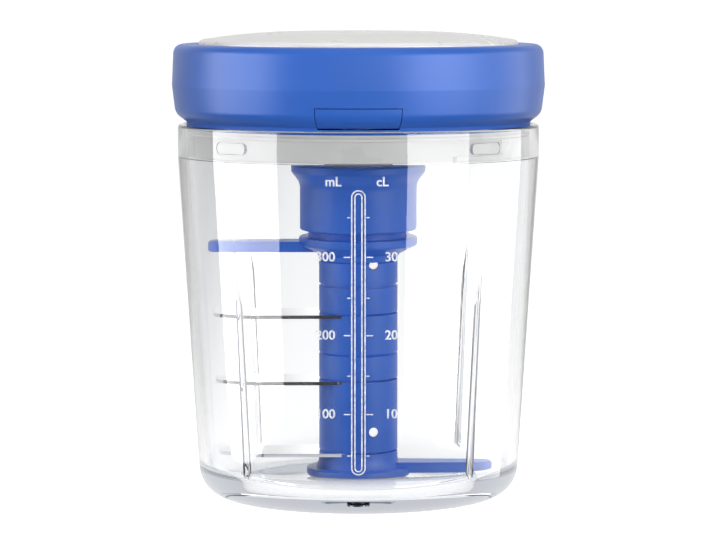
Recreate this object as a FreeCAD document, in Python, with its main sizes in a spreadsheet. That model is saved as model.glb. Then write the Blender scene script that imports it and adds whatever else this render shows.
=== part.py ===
"""A hand-pulled food chopper: a clear graduated bowl, a bladed spindle and a lid with a recoil cord drive.

Millimetres, +Z up, origin at the centre of the bowl's base. The front, with the pull handle, faces -Y.
"""
import FreeCAD, Part
import math
import os
import Sketcher

V = FreeCAD.Vector

# Driving sizes, in millimetres and degrees
SIZES = [
    # The clear bowl
    ("bowl_top_radius", 47.3),
    ("bowl_taper", 5.8),
    ("bowl_wall", 2.5),
    ("bowl_corner_round", 8.4),
    ("bowl_inner_round", 6.0),
    ("bowl_floor_height", 4.8),
    ("bowl_recess_height", 2.2),
    ("foot_ring_inset", 11.0),
    ("foot_ring_slope", 0.9),
    ("rim_height", 98.0),
    ("rim_depth", 8.4),
    ("rim_bevel", 0.6),
    ("ledge_width", 0.5),
    ("boss_radius", 6.5),
    ("boss_rise", 0.8),
    ("rib_depth", 1.2),
    ("rib_width", 1.5),
    ("rib_rise", 3.8),
    ("rib_end_drop", 27.6),
    ("rib_point_length", 9.0),
    ("rib_toe_length", 2.0),
    ("rib_bite", 0.6),
    ("rib_count", 4),
    ("lug_width", 10.0),
    ("lug_height", 3.0),
    ("lug_rise", 2.0),
    ("lug_reach", 1.4),
    ("lug_round", 1.2),
    ("lug_count", 4),
    ("first_lug_angle", -45.0),
    # The steel pin that the spindle turns on
    ("pin_radius", 2.0),
    ("pin_sink", 2.0),
    ("pin_rise", 17.0),
    # The bladed spindle
    ("shaft_radius", 10.35),
    ("joint_bevel", 0.35),
    ("stem_side", 8.4),
    ("stem_ease", 0.6),
    ("foot_gap", 0.7),
    ("foot_flange_width", 3.25),
    ("foot_flange_height", 2.1),
    ("foot_height", 5.7),
    ("foot_flare_width", 0.95),
    ("foot_flare_rise", 1.5),
    ("foot_flare_round", 5.5),
    ("bush_wall", 1.6),
    ("bush_rise", 0.7),
    ("bush_length", 8.6),
    ("blade_thickness", 0.9),
    ("blade_front", 9.3),
    ("blade_front_end", 10.0),
    ("blade_front_round", 12.0),
    ("blade_back", 6.6),
    ("blade_back_end", 7.7),
    ("blade_back_round", 30.0),
    ("blade_tip_front", 3.9),
    ("blade_tip_back", 3.4),
    ("blade_tip_round", 5.0),
    ("blade_bevel", 0.45),
    ("blade_hub_inset", 0.95),
    ("lower_blade_gap", 2.1),
    ("middle_blade_gap", 2.5),
    ("upper_blade_gap", 3.0),
    ("lower_spacer_length", 17.8),
    ("middle_spacer_length", 6.7),
    ("upper_spacer_length", 9.6),
    ("neck_groove_drop", 6.3),
    ("neck_groove_width", 0.8),
    ("neck_groove_depth", 0.5),
    ("collar_drop", 28.0),
    ("collar_flare_height", 3.9),
    ("collar_flare_rise", 1.4),
    ("collar_flare_round", 2.0),
    ("collar_height", 6.0),
    ("collar_step", 0.2),
    ("arm_thickness", 2.7),
    ("arm_width", 9.0),
    ("arm_tip_width", 6.5),
    ("arm_tip_round", 3.0),
    ("upper_arm_gap", 3.3),
    ("upper_arm_rise", 2.2),
    ("lower_arm_gap", 4.0),
    ("lower_arm_rise", 0.9),
    ("drain_hole_radius", 1.2),
    ("drain_hole_offset", 4.0),
    ("upper_drain_drop", 1.6),
    ("lower_drain_rise", 6.6),
    # The socket that the lid drives
    ("socket_wall", 2.8),
    ("socket_side", 5.05),
    ("socket_groove_depth", 2.2),
    ("socket_groove_width", 1.8),
    ("socket_flare_rise", 13.9),
    ("socket_flare_length", 2.9),
    ("socket_flare_round", 4.0),
    ("socket_flange_width", 2.3),
    ("socket_depth", 12.5),
    ("socket_height", 18.9),
    ("socket_web", 2.0),
    ("socket_bevel", 0.5),
    ("dog_sweep", 24.0),
    ("dog_count", 3),
    ("dog_height", 6.0),
    ("dog_width", 4.6),
    ("dog_root", 0.5),
    ("screw_radius", 1.5),
    ("screw_head_radius", 2.9),
    ("screw_head_height", 1.8),
    ("screw_head_bevel", 0.7),
    ("screw_length", 8.0),
    # The lid's skirt and base
    ("skirt_gap", 0.35),
    ("skirt_wall", 2.6),
    ("skirt_rise", 0.3),
    ("skirt_bevel", 0.5),
    ("plate_drop", 1.0),
    ("plate_thickness", 2.6),
    ("hub_wall", 2.9),
    ("hub_reach", 2.0),
    ("channel_play", 0.35),
    ("entry_play_angle", 1.2),
    ("lid_turn_angle", 20.0),
    ("seal_drop", 1.7),
    ("seal_height", 1.2),
    ("seal_depth", 1.2),
    ("seal_gap", 0.1),
    ("seal_lip", 0.5),
    ("shaft_bush_wall", 1.4),
    ("shaft_bush_flange", 1.0),
    ("shaft_bush_flange_width", 1.5),
    ("post_radius", 3.0),
    ("post_offset", 6.9),
    ("post_count", 3),
    # The blue ring of the lid
    ("lid_overhang", 1.5),
    ("lid_gap", 0.3),
    ("lid_height", 20.6),
    ("lid_crease_rise", 9.9),
    ("lid_crease_round", 12.0),
    ("lid_draft", 0.5),
    ("lid_low_inset", 0.6),
    ("lid_low_round", 3.6),
    ("lid_high_round", 2.4),
    ("lid_wall", 2.4),
    ("lid_wall_rise", 2.6),
    ("lid_flange_width", 10.2),
    ("cap_rim_width", 6.2),
    ("cap_rim_bevel", 0.4),
    ("cap_seat_depth", 2.0),
    ("cap_seat_width", 2.2),
    ("cap_seat_thickness", 1.8),
    ("base_screw_inset", 2.3),
    ("base_screw_reach", 3.4),
    ("base_screw_count", 4),
    # The pale domed cap
    ("cap_gap", 0.2),
    ("cap_rise", 3.2),
    ("cap_shoulder_rise", 1.0),
    ("cap_slope_width", 13.9),
    ("cap_crown_round", 150.0),
    ("cap_wall", 1.8),
    ("cap_round", 1.4),
    ("cap_spigot_wall", 1.3),
    ("cap_spigot_depth", 2.4),
    # The recoil drive
    ("drive_shaft_radius", 4.6),
    ("drive_shaft_end_gap", 0.8),
    ("drive_shaft_bevel", 0.6),
    ("drive_dog_rise", 2.0),
    ("drive_dog_gap", 1.0),
    ("drive_dog_slope", 1.5),
    ("spool_core_radius", 16.0),
    ("spool_flange_radius", 26.0),
    ("spool_gap", 1.6),
    ("spool_height", 7.0),
    ("spool_flange", 1.1),
    ("winding_depth", 2.6),
    ("arbor_radius", 6.8),
    ("journal_radius", 3.4),
    ("spring_height", 4.6),
    ("spring_thickness", 0.45),
    ("spring_pitch", 2.0),
    ("spring_turns", 9),
    ("spring_side_room", 1.05),
    ("spring_floor_gap", 0.4),
    ("spring_headroom", 0.8),
    ("cup_gap", 0.4),
    ("cup_floor", 1.2),
    ("cup_wall", 1.3),
    ("cup_bevel", 0.5),
    ("cover_thickness", 1.2),
    ("ear_radius", 4.6),
    ("ear_round", 4.1),
    ("cup_screw_reach", 8.0),
    # The pull handle and its cord
    ("handle_rise", 0.4),
    ("handle_height", 4.2),
    ("handle_sweep", 26.0),
    ("handle_play", 0.35),
    ("handle_play_angle", 0.45),
    ("handle_inset", 0.25),
    ("handle_low_round", 2.9),
    ("grip_sweep", 20.0),
    ("grip_lip", 4.2),
    ("grip_depth", 1.5),
    ("grip_wall", 1.6),
    ("cord_radius", 0.9),
    ("cord_wall", 2.0),
    ("stop_wall", 0.6),
    ("stop_length", 1.3),
    ("guide_length", 3.0),
    ("guide_block_width", 8.0),
    ("guide_block_height", 4.4),
    ("guide_block_round", 1.6),
    ("lead_end_gap", 1.5),
    # Clearances
    ("running_gap", 0.08),
    ("fit_gap", 0.03),
    ("part_gap", 0.3),
]

# Heights and radii that several pieces share, each a formula of the sizes, in millimetres
DERIVED = [
    # The bowl
    ("bowl_bottom_radius", "bowl_top_radius - bowl_taper"),
    ("foot_ring_radius", "bowl_bottom_radius - foot_ring_inset"),
    ("ledge_height", "rim_height - rim_depth"),
    ("bowl_slope", "bowl_taper / ledge_height"),
    ("bowl_bore_top", "bowl_top_radius - bowl_wall"),
    ("boss_height", "bowl_floor_height + boss_rise"),
    ("rib_low", "bowl_floor_height + rib_rise"),
    ("rib_top", "ledge_height - rib_end_drop"),
    ("rim_bore", "bowl_bore_top + ledge_width"),
    ("lug_low", "ledge_height + lug_rise"),
    ("lug_bore", "rim_bore - lug_reach"),
    ("lug_half_angle", "asin(lug_width / 2 / lug_bore) / 1deg"),
    # The spindle, from its foot up to the socket
    ("foot_low", "bowl_floor_height + foot_gap"),
    ("foot_flange_radius", "shaft_radius + foot_flange_width"),
    ("foot_flange_high", "foot_low + foot_flange_height"),
    ("foot_high", "foot_low + foot_height"),
    ("foot_hollow_radius", "boss_radius + foot_gap"),
    ("foot_hollow_high", "boss_height + part_gap"),
    ("pin_high", "boss_height - pin_sink + pin_rise"),
    ("bush_bore", "pin_radius + running_gap"),
    ("bush_radius", "bush_bore + bush_wall"),
    ("bush_low", "foot_low + bush_rise"),
    ("lower_blade_low", "foot_high"),
    ("lower_blade_high", "lower_blade_low + blade_thickness"),
    ("middle_blade_low", "lower_blade_high + lower_spacer_length"),
    ("middle_blade_high", "middle_blade_low + blade_thickness"),
    ("spacer_joint", "middle_blade_high + middle_spacer_length"),
    ("upper_blade_low", "spacer_joint + upper_spacer_length"),
    ("upper_blade_high", "upper_blade_low + blade_thickness"),
    ("lower_blade_reach", "bowl_bottom_radius + bowl_slope * lower_blade_low - bowl_wall - lower_blade_gap"),
    ("middle_blade_reach", "bowl_bottom_radius + bowl_slope * middle_blade_low - bowl_wall - middle_blade_gap"),
    ("upper_blade_reach", "bowl_bottom_radius + bowl_slope * upper_blade_low - bowl_wall - upper_blade_gap"),
    ("blade_hub_radius", "shaft_radius - blade_hub_inset"),
    ("collar_low", "ledge_height - collar_drop"),
    ("collar_flare_high", "collar_low + collar_flare_height"),
    ("collar_high", "collar_low + collar_height"),
    ("neck_groove_height", "collar_low - neck_groove_drop"),
    ("upper_arm_low", "collar_low + upper_arm_rise"),
    ("upper_arm_reach", "bowl_bottom_radius + bowl_slope * upper_arm_low - bowl_wall - upper_arm_gap"),
    ("lower_arm_low", "foot_low + lower_arm_rise"),
    ("lower_arm_reach", "bowl_bottom_radius + bowl_slope * lower_arm_low - bowl_wall - lower_arm_gap"),
    ("upper_drain_height", "collar_low - upper_drain_drop"),
    ("lower_drain_height", "foot_high + lower_drain_rise"),
    ("stem_hole_side", "stem_side + 2 * fit_gap"),
    ("socket_radius", "shaft_radius + socket_side"),
    ("socket_groove_radius", "socket_radius - socket_groove_depth"),
    ("socket_groove_high", "collar_high + socket_groove_width"),
    ("socket_flare_low", "collar_high + socket_flare_rise"),
    ("socket_flare_high", "socket_flare_low + socket_flare_length"),
    ("socket_flange_radius", "socket_radius + socket_flange_width"),
    ("socket_high", "collar_high + socket_height"),
    ("socket_floor", "socket_high - socket_depth"),
    ("socket_bore_radius", "socket_radius - socket_wall"),
    ("collar_radius", "socket_radius + collar_step"),
    ("stem_top", "socket_floor - socket_web"),
    ("dog_high", "socket_floor + dog_height"),
    ("dog_inner_radius", "socket_bore_radius - dog_width"),
    # The lid's base
    ("skirt_radius", "rim_bore - skirt_gap"),
    ("skirt_bore", "skirt_radius - skirt_wall"),
    ("skirt_low", "ledge_height + skirt_rise"),
    ("plate_high", "rim_height - plate_drop"),
    ("plate_low", "plate_high - plate_thickness"),
    ("channel_radius", "lug_bore - channel_play"),
    ("channel_low", "lug_low - channel_play"),
    ("channel_high", "lug_low + lug_height + channel_play"),
    ("entry_half_angle", "lug_half_angle + entry_play_angle"),
    ("seal_low", "plate_high - seal_drop"),
    ("seal_high", "seal_low + seal_height"),
    ("seal_reach", "rim_bore - seal_gap"),
    ("shaft_bush_bore", "drive_shaft_radius + running_gap"),
    ("shaft_bush_radius", "shaft_bush_bore + shaft_bush_wall"),
    ("hub_radius", "shaft_bush_radius + hub_wall"),
    ("hub_low", "socket_high - hub_reach"),
    # The ring and the cap
    ("lid_radius", "bowl_top_radius + lid_overhang"),
    ("lid_top_radius", "lid_radius - lid_draft"),
    ("lid_low", "rim_height + lid_gap"),
    ("lid_crease", "lid_low + lid_crease_rise"),
    ("lid_high", "lid_low + lid_height"),
    ("lid_bore", "lid_top_radius - lid_wall"),
    ("lid_flange_radius", "lid_radius - lid_flange_width"),
    ("cap_bore", "lid_top_radius - cap_rim_width"),
    ("cap_seat", "lid_high - cap_seat_depth"),
    ("cap_seat_radius", "cap_bore - cap_seat_width"),
    ("base_screw_radius", "lid_flange_radius + base_screw_inset"),
    ("cap_radius", "cap_bore - cap_gap"),
    ("cap_high", "lid_high + cap_rise"),
    ("cap_shoulder", "lid_high + cap_shoulder_rise"),
    ("cap_crown_radius", "cap_radius - cap_slope_width"),
    ("cap_slope", "(cap_high - cap_shoulder) / cap_slope_width"),
    ("cap_spigot_radius", "cap_seat_radius - cap_gap"),
    ("cap_spigot_bore", "cap_spigot_radius - cap_spigot_wall"),
    # The recoil drive
    ("drive_shaft_low", "socket_floor + screw_head_height + drive_shaft_end_gap"),
    ("drive_dog_radius", "socket_bore_radius - drive_dog_gap"),
    ("drive_dog_high", "dog_high + drive_dog_rise"),
    ("spool_low", "plate_high + spool_gap"),
    ("spool_high", "spool_low + spool_height"),
    ("spool_floor", "spool_low + spool_flange"),
    ("spool_ceiling", "spool_high - spool_flange"),
    ("winding_radius", "spool_core_radius + winding_depth"),
    ("spring_radius", "arbor_radius + part_gap + spring_thickness + spring_turns * spring_pitch"),
    ("cup_radius", "spring_radius + spring_side_room"),
    ("cup_rim_radius", "cup_radius + cup_wall"),
    ("cup_low", "spool_high + cup_gap"),
    ("cup_floor_high", "cup_low + cup_floor"),
    ("spring_low", "cup_floor_high + spring_floor_gap"),
    ("cup_high", "spring_low + spring_height + spring_headroom"),
    ("cover_high", "cup_high + cover_thickness"),
    ("post_pitch_radius", "cup_radius + post_offset"),
    # The handle and the cord
    ("handle_low", "lid_low + handle_rise"),
    ("handle_high", "handle_low + handle_height"),
    ("grip_bottom", "handle_high - grip_depth"),
    ("grip_radius", "lid_radius - grip_lip"),
    ("cord_height", "(handle_low + handle_high) / 2"),
    ("stop_radius", "cord_radius + stop_wall"),
    ("cord_end", "lid_flange_radius + cord_wall"),
    ("guide_face", "lid_flange_radius - part_gap"),
    ("guide_back", "guide_face - guide_length"),
    ("lead_radius", "winding_radius + cord_radius + part_gap"),
    ("lead_angle", "acos(lead_radius / guide_back) / 1deg"),
    ("lead_length", "sqrt(guide_back ^ 2 - lead_radius ^ 2) - lead_end_gap"),
]

document = FreeCAD.newDocument("food_chopper")
sheet = document.addObject("Spreadsheet::Sheet", "Sizes")


def fill_sheet():
    """Write every size and formula to the sheet, one row each."""
    row = 1
    for alias, number in SIZES:
        sheet.set("A%d" % row, alias)
        sheet.set("B%d" % row, str(number))
        sheet.setAlias("B%d" % row, alias)
        row += 1
    for alias, formula in DERIVED:
        sheet.set("A%d" % row, alias)
        sheet.set("B%d" % row, "=" + formula)
        sheet.setAlias("B%d" % row, alias)
        row += 1
    document.recompute()
    if "Invalid" in sheet.State:
        raise RuntimeError("the sheet has a faulty cell")


fill_sheet()
ALIASES = sorted([name for name, unused in SIZES + DERIVED], key=len, reverse=True)


def linked(formula):
    """Return a formula of aliases as an expression that names the sheet."""
    words = []
    word = ""
    for letter in str(formula) + " ":
        if letter.isalnum() or letter == "_":
            word += letter
            continue
        words.append("Sizes." + word if word in ALIASES else word)
        words.append(letter)
        word = ""
    return "".join(words).strip()


def size(formula):
    """Return the number that a formula of aliases gives."""
    value = sheet.evalExpression(linked(formula))
    return float(getattr(value, "Value", value))


def new_body(label):
    """Return an empty body with its own label."""
    body = document.addObject("PartDesign::Body", label)
    body.Label = label
    body.Placement = FreeCAD.Placement()
    return body


def origin_part(body, role):
    """Return an axis or plane of a body's origin."""
    return [part for part in body.Origin.OriginFeatures if part.Role == role][0]


def new_sketch(body, role, name):
    """Return a sketch on a plane of the body's origin."""
    sketch = body.newObject("Sketcher::SketchObject", body.Label + "_" + name)
    sketch.AttachmentSupport = [(origin_part(body, role), "")]
    sketch.MapMode = "FlatFace"
    return sketch


def turned_sketch(body, name, azimuth, distance="0"):
    """Return an upright sketch whose X axis points at an azimuth, moved out along its own normal."""
    sketch = new_sketch(body, "XZ_Plane", name)
    angle = size(azimuth)
    reach = size(distance)
    turn = FreeCAD.Rotation(V(0, 1, 0), angle)
    sketch.AttachmentOffset = FreeCAD.Placement(turn.multVec(V(0, 0, reach)), turn)
    sketch.setExpression("AttachmentOffset.Rotation.Angle", linked(azimuth))
    sketch.setExpression("AttachmentOffset.Base.x", linked("(%s) * sin(%s)" % (distance, azimuth)))
    sketch.setExpression("AttachmentOffset.Base.z", linked("(%s) * cos(%s)" % (distance, azimuth)))
    return sketch


def level_sketch(body, name, height):
    """Return a flat sketch at a height."""
    sketch = new_sketch(body, "XY_Plane", name)
    sketch.AttachmentOffset = FreeCAD.Placement(V(0, 0, size(height)), FreeCAD.Rotation())
    sketch.setExpression("AttachmentOffset.Base.z", linked(height))
    return sketch


def outline(sketch, corners):
    """Draw a closed outline. A corner is (x, y) or (x, y, round), each a formula of aliases."""
    count = len(corners)
    places = [V(size(corner[0]), size(corner[1]), 0) for corner in corners]
    rounds = [size(corner[2]) if len(corner) > 2 else 0.0 for corner in corners]
    starts = []
    ends = []
    for index in range(count):
        here = places[index]
        back = (places[index - 1] - here).normalize()
        ahead = (places[(index + 1) % count] - here).normalize()
        half = back.getAngle(ahead) / 2
        trim = rounds[index] / math.tan(half) if rounds[index] else 0.0
        ends.append(here + back * trim)
        starts.append(here + ahead * trim)
    for index in range(count):
        line = Part.LineSegment(starts[index], ends[(index + 1) % count])
        sketch.addGeometry(line, False)
    for index in range(count):
        before = (index - 1) % count
        corner = corners[index]
        if not rounds[index]:
            sketch.addConstraint(Sketcher.Constraint("Coincident", before, 2, index, 1))
            pin_point(sketch, index, 1, corner, places[index], "corner%d" % index)
            continue
        back = (places[index - 1] - places[index]).normalize()
        ahead = (places[(index + 1) % count] - places[index]).normalize()
        inward = (back + ahead).normalize()
        half = back.getAngle(ahead) / 2
        centre = places[index] + inward * (rounds[index] / math.sin(half))
        middle = centre - inward * rounds[index]
        arc = sketch.addGeometry(Part.Arc(ends[index], middle, starts[index]), False)
        forward = sketch.getPoint(arc, 1).isEqual(ends[index], 1e-6)
        first, last = (1, 2) if forward else (2, 1)
        sketch.addConstraint(Sketcher.Constraint("Tangent", before, 2, arc, first))
        sketch.addConstraint(Sketcher.Constraint("Tangent", index, 1, arc, last))
        bend = sketch.addConstraint(Sketcher.Constraint("Radius", arc, rounds[index]))
        sketch.renameConstraint(bend, "round%d" % index)
        sketch.setExpression("Constraints.round%d" % index, linked(corner[2]))
        point = sketch.addGeometry(Part.Point(places[index]), True)
        sketch.addConstraint(Sketcher.Constraint("PointOnObject", point, 1, before))
        sketch.addConstraint(Sketcher.Constraint("PointOnObject", point, 1, index))
        pin_point(sketch, point, 1, corner, places[index], "corner%d" % index)


def pin_point(sketch, geometry, vertex, corner, place, name):
    """Hold a point of a sketch at a corner's two formulas."""
    for axis, kind, number, formula in (("x", "DistanceX", place.x, corner[0]),
                                        ("y", "DistanceY", place.y, corner[1])):
        held = sketch.addConstraint(Sketcher.Constraint(kind, -1, 1, geometry, vertex, number))
        sketch.renameConstraint(held, name + axis)
        sketch.setExpression("Constraints." + name + axis, linked(formula))


def circle(sketch, x, y, radius, name="circle"):
    """Draw a circle whose centre and radius are formulas."""
    centre = V(size(x), size(y), 0)
    ring = sketch.addGeometry(Part.Circle(centre, V(0, 0, 1), size(radius)), False)
    held = sketch.addConstraint(Sketcher.Constraint("Radius", ring, size(radius)))
    sketch.renameConstraint(held, name + "_radius")
    sketch.setExpression("Constraints." + name + "_radius", linked(radius))
    pin_point(sketch, ring, 3, (x, y), centre, name)


def revolve(body, name, corners, azimuth="0", sweep="360", remove=False):
    """Turn an outline of (radius, height) corners about Z, to add or remove a ring or a sector."""
    before = body.Shape.Volume if body.Tip else 0.0
    sketch = turned_sketch(body, name + "_outline", azimuth)
    outline(sketch, corners)
    kind = "PartDesign::Groove" if remove else "PartDesign::Revolution"
    feature = body.newObject(kind, body.Label + "_" + name)
    feature.Profile = sketch
    feature.ReferenceAxis = (sketch, ["V_Axis"])
    feature.Angle = size(sweep)
    feature.setExpression("Angle", linked(sweep))
    document.recompute()
    expect_change(body, before, remove, name)
    return feature


def extrude(body, name, sketch, length, remove=False):
    """Pad a sketch along its normal, or pocket it against its normal."""
    before = body.Shape.Volume if body.Tip else 0.0
    kind = "PartDesign::Pocket" if remove else "PartDesign::Pad"
    feature = body.newObject(kind, body.Label + "_" + name)
    feature.Profile = sketch
    feature.Length = size(length)
    feature.setExpression("Length", linked(length))
    document.recompute()
    expect_change(body, before, remove, name)
    return feature


def expect_change(body, before, remove, name):
    """Stop if a feature added or removed nothing."""
    change = body.Shape.Volume - before
    if (remove and change > -1e-6) or (not remove and change < 1e-6):
        raise RuntimeError("%s: %s changed the volume by %.6f" % (body.Label, name, change))


def around(body, name, feature, count):
    """Repeat a feature evenly about Z."""
    before = body.Shape.Volume
    pattern = body.newObject("PartDesign::PolarPattern", body.Label + "_" + name)
    pattern.Originals = [feature]
    pattern.Axis = (origin_part(body, "Z_Axis"), [""])
    pattern.Angle = 360
    pattern.Occurrences = int(size(count))
    pattern.setExpression("Occurrences", linked(count))
    body.Tip = pattern
    document.recompute()
    if abs(body.Shape.Volume - before) < 1e-6:
        raise RuntimeError("%s: %s repeated nothing" % (body.Label, name))


def bevel(radius, height, width, coming, going):
    """Return the two corners of a flat bevel, from the ways an outline comes to its corner and leaves it."""
    steps = {"in": (-1, 0), "out": (1, 0), "down": (0, -1), "up": (0, 1)}
    corners = []
    for across, along in ([-step for step in steps[coming]], steps[going]):
        corners.append(("%s + %d * %s" % (radius, across, width), "%s + %d * %s" % (height, along, width)))
    return corners


def square(sketch, side):
    """Draw a centred square with eased corners."""
    half = "(%s) / 2" % side
    outline(sketch, [("-" + half, "-" + half, "stem_ease"), (half, "-" + half, "stem_ease"),
                     (half, half, "stem_ease"), ("-" + half, half, "stem_ease")])


def cut_square(body, top, depth):
    """Cut the stem's square hole down from a height."""
    sketch = level_sketch(body, "square", top)
    square(sketch, "stem_hole_side")
    extrude(body, "square_hole", sketch, depth, remove=True)


def drill_drain(body, name, height):
    """Drill a small drain hole through the spindle, front to back."""
    sketch = turned_sketch(body, name + "_outline", "0", "2 * shaft_radius")
    circle(sketch, "drain_hole_offset", height, "drain_hole_radius")
    extrude(body, name, sketch, "4 * shaft_radius", remove=True)


def bowl_radius_at(height, inset="0"):
    """Return the formula of the bowl's outer radius at a height, less an inset."""
    return "bowl_bottom_radius + bowl_slope * (%s) - (%s)" % (height, inset)


# The bowl and its pin

def make_bowl():
    """The clear bowl: tapered wall, lid ledge, foot ring, four pouring ribs and four bayonet lugs."""
    body = new_body("bowl")
    revolve(body, "wall", [
        ("0", "bowl_recess_height"),
        ("foot_ring_radius", "bowl_recess_height"),
        ("foot_ring_radius + foot_ring_slope", "0"),
        ("bowl_bottom_radius", "0", "bowl_corner_round"),
        ("bowl_top_radius", "ledge_height"),
        *bevel("bowl_top_radius", "rim_height", "rim_bevel", "up", "in"),
        *bevel("rim_bore", "rim_height", "rim_bevel", "in", "down"),
        ("rim_bore", "ledge_height"),
        ("bowl_bore_top", "ledge_height"),
        (bowl_radius_at("bowl_floor_height", "bowl_wall"), "bowl_floor_height", "bowl_inner_round"),
        ("boss_radius", "bowl_floor_height"),
        ("boss_radius", "boss_height"),
        ("pin_radius + fit_gap", "boss_height"),
        ("pin_radius + fit_gap", "boss_height - pin_sink"),
        ("0", "boss_height - pin_sink"),
    ])
    rib = turned_sketch(body, "rib_outline", "first_lug_angle", "-rib_width / 2")
    outline(rib, [
        (bowl_radius_at("rib_low", "bowl_wall - rib_bite"), "rib_low"),
        (bowl_radius_at("rib_top", "bowl_wall - rib_bite"), "rib_top"),
        (bowl_radius_at("rib_top", "bowl_wall"), "rib_top"),
        (bowl_radius_at("rib_top - rib_point_length", "bowl_wall + rib_depth"), "rib_top - rib_point_length"),
        (bowl_radius_at("rib_low + rib_toe_length", "bowl_wall + rib_depth"), "rib_low + rib_toe_length"),
        (bowl_radius_at("rib_low", "bowl_wall"), "rib_low"),
    ])
    first_rib = extrude(body, "rib", rib, "rib_width")
    around(body, "ribs", first_rib, "rib_count")
    lug = turned_sketch(body, "lug_outline", "first_lug_angle + 90", "lug_bore")
    outline(lug, [
        ("-lug_width / 2", "lug_low", "lug_round"),
        ("lug_width / 2", "lug_low", "lug_round"),
        ("lug_width / 2", "lug_low + lug_height", "lug_round"),
        ("-lug_width / 2", "lug_low + lug_height", "lug_round"),
    ])
    first_lug = extrude(body, "lug", lug, "lug_reach + rib_bite")
    around(body, "lugs", first_lug, "lug_count")
    return body


def make_pivot_pin():
    """The steel pin moulded into the bowl's centre boss."""
    body = new_body("pivot_pin")
    revolve(body, "pin", [
        ("0", "boss_height - pin_sink"),
        ("pin_radius", "boss_height - pin_sink"),
        ("pin_radius", "pin_high", "0.8"),
        ("0", "pin_high"),
    ])
    return body


# The bladed spindle

def make_arm(body, name, low, reach, side):
    """Add a flat mixing arm with a round end, along X: side -1 points left and side 1 points right."""
    arm = level_sketch(body, name + "_outline", low)
    root = "%d * shaft_radius * 0.75" % side
    tip = "%d * (%s)" % (side, reach)
    corners = [(root, "-arm_width / 2"), (tip, "-arm_tip_width / 2", "arm_tip_round"),
               (tip, "arm_tip_width / 2", "arm_tip_round"), (root, "arm_width / 2")]
    outline(arm, corners[::side])
    extrude(body, name, arm, "arm_thickness")


def make_foot_stem():
    """The spindle's foot, with its lower mixing arm and the square stem that carries the stack."""
    body = new_body("foot_stem")
    revolve(body, "foot", [
        ("bush_radius + fit_gap", "foot_hollow_high"),
        ("foot_hollow_radius", "foot_hollow_high"),
        ("foot_hollow_radius", "foot_low"),
        *bevel("foot_flange_radius", "foot_low", "joint_bevel", "out", "up"),
        *bevel("foot_flange_radius", "foot_flange_high", "joint_bevel", "up", "in"),
        ("shaft_radius + foot_flare_width", "foot_flange_high"),
        ("shaft_radius", "foot_flange_high + foot_flare_rise", "foot_flare_round"),
        ("shaft_radius", "foot_high - joint_bevel"),
        ("shaft_radius - joint_bevel", "foot_high"),
        ("bush_radius + fit_gap", "foot_high"),
    ])
    make_arm(body, "lower_arm", "lower_arm_low", "lower_arm_reach", 1)
    stem = level_sketch(body, "stem_outline", "foot_flange_high")
    square(stem, "stem_side")
    extrude(body, "stem", stem, "stem_top - foot_flange_high")
    pin_hole = level_sketch(body, "pin_hole_outline", "pin_high + part_gap")
    circle(pin_hole, "0", "0", "bush_bore")
    extrude(body, "pin_hole", pin_hole, "pin_high - foot_low + part_gap + 1", remove=True)
    bush_hole = level_sketch(body, "bush_hole_outline", "bush_low + bush_length")
    circle(bush_hole, "0", "0", "bush_radius + fit_gap")
    extrude(body, "bush_hole", bush_hole, "bush_length + 1", remove=True)
    screw_hole = level_sketch(body, "screw_hole_outline", "stem_top")
    circle(screw_hole, "0", "0", "screw_radius + fit_gap")
    extrude(body, "screw_hole", screw_hole, "screw_length", remove=True)
    drill_drain(body, "lower_drain", "lower_drain_height")
    drill_drain(body, "upper_drain", "upper_drain_height")
    return body


def make_foot_bush():
    """The plain bearing pressed into the foot, which runs on the pin."""
    body = new_body("foot_bush")
    revolve(body, "bush", [
        ("bush_bore", "bush_low"),
        *bevel("bush_radius", "bush_low", "joint_bevel", "out", "up"),
        ("bush_radius", "bush_low + bush_length"),
        ("bush_bore", "bush_low + bush_length"),
    ])
    return body


def make_blade(label, low, reach):
    """One steel blade: a swept blade with a bevelled edge, and its hub with the square hole."""
    body = new_body(label)
    blade = level_sketch(body, "blade_outline", low)
    outline(blade, [
        ("0", "blade_front"),
        ("blade_back_end - %s" % reach, "blade_back", "blade_back_round"),
        ("-%s" % reach, "blade_tip_back"),
        ("blade_thickness - %s" % reach, "-blade_tip_front", "blade_tip_round"),
        ("blade_front_end - %s" % reach, "-blade_front", "blade_front_round"),
        ("0", "-blade_front"),
    ])
    extrude(body, "blade", blade, "blade_thickness")
    edges = []
    top = size(low) + size("blade_thickness")
    tip_front = -size("blade_tip_front")
    for index, edge in enumerate(body.Shape.Edges):
        middle = edge.valueAt((edge.FirstParameter + edge.LastParameter) / 2)
        on_top = abs(edge.BoundBox.ZMin - top) < 1e-6 and abs(edge.BoundBox.ZMax - top) < 1e-6
        if on_top and middle.y < tip_front and middle.x < 0:
            edges.append("Edge%d" % (index + 1))
    before = body.Shape.Volume
    flat = body.Tip
    ground = body.newObject("PartDesign::Chamfer", label + "_edge")
    ground.Base = (flat, edges)
    ground.Size = size("blade_bevel")
    ground.setExpression("Size", linked("blade_bevel"))
    document.recompute()
    expect_change(body, before, True, "edge")
    hub = level_sketch(body, "hub_outline", low)
    circle(hub, "0", "0", "blade_hub_radius")
    extrude(body, "hub", hub, "blade_thickness")
    cut_square(body, "(%s) + blade_thickness + 1" % low, "blade_thickness + 2")
    return body


def make_spacer(label, low, high):
    """A sleeve of the spindle between two blades, bevelled where it meets its neighbours."""
    body = new_body(label)
    revolve(body, "sleeve", [
        ("0", low),
        ("shaft_radius - joint_bevel", low),
        ("shaft_radius", "(%s) + joint_bevel" % low),
        ("shaft_radius", "(%s) - joint_bevel" % high),
        ("shaft_radius - joint_bevel", high),
        ("0", high),
    ])
    cut_square(body, "(%s) + 1" % high, "(%s) - (%s) + 2" % (high, low))
    return body


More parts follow.
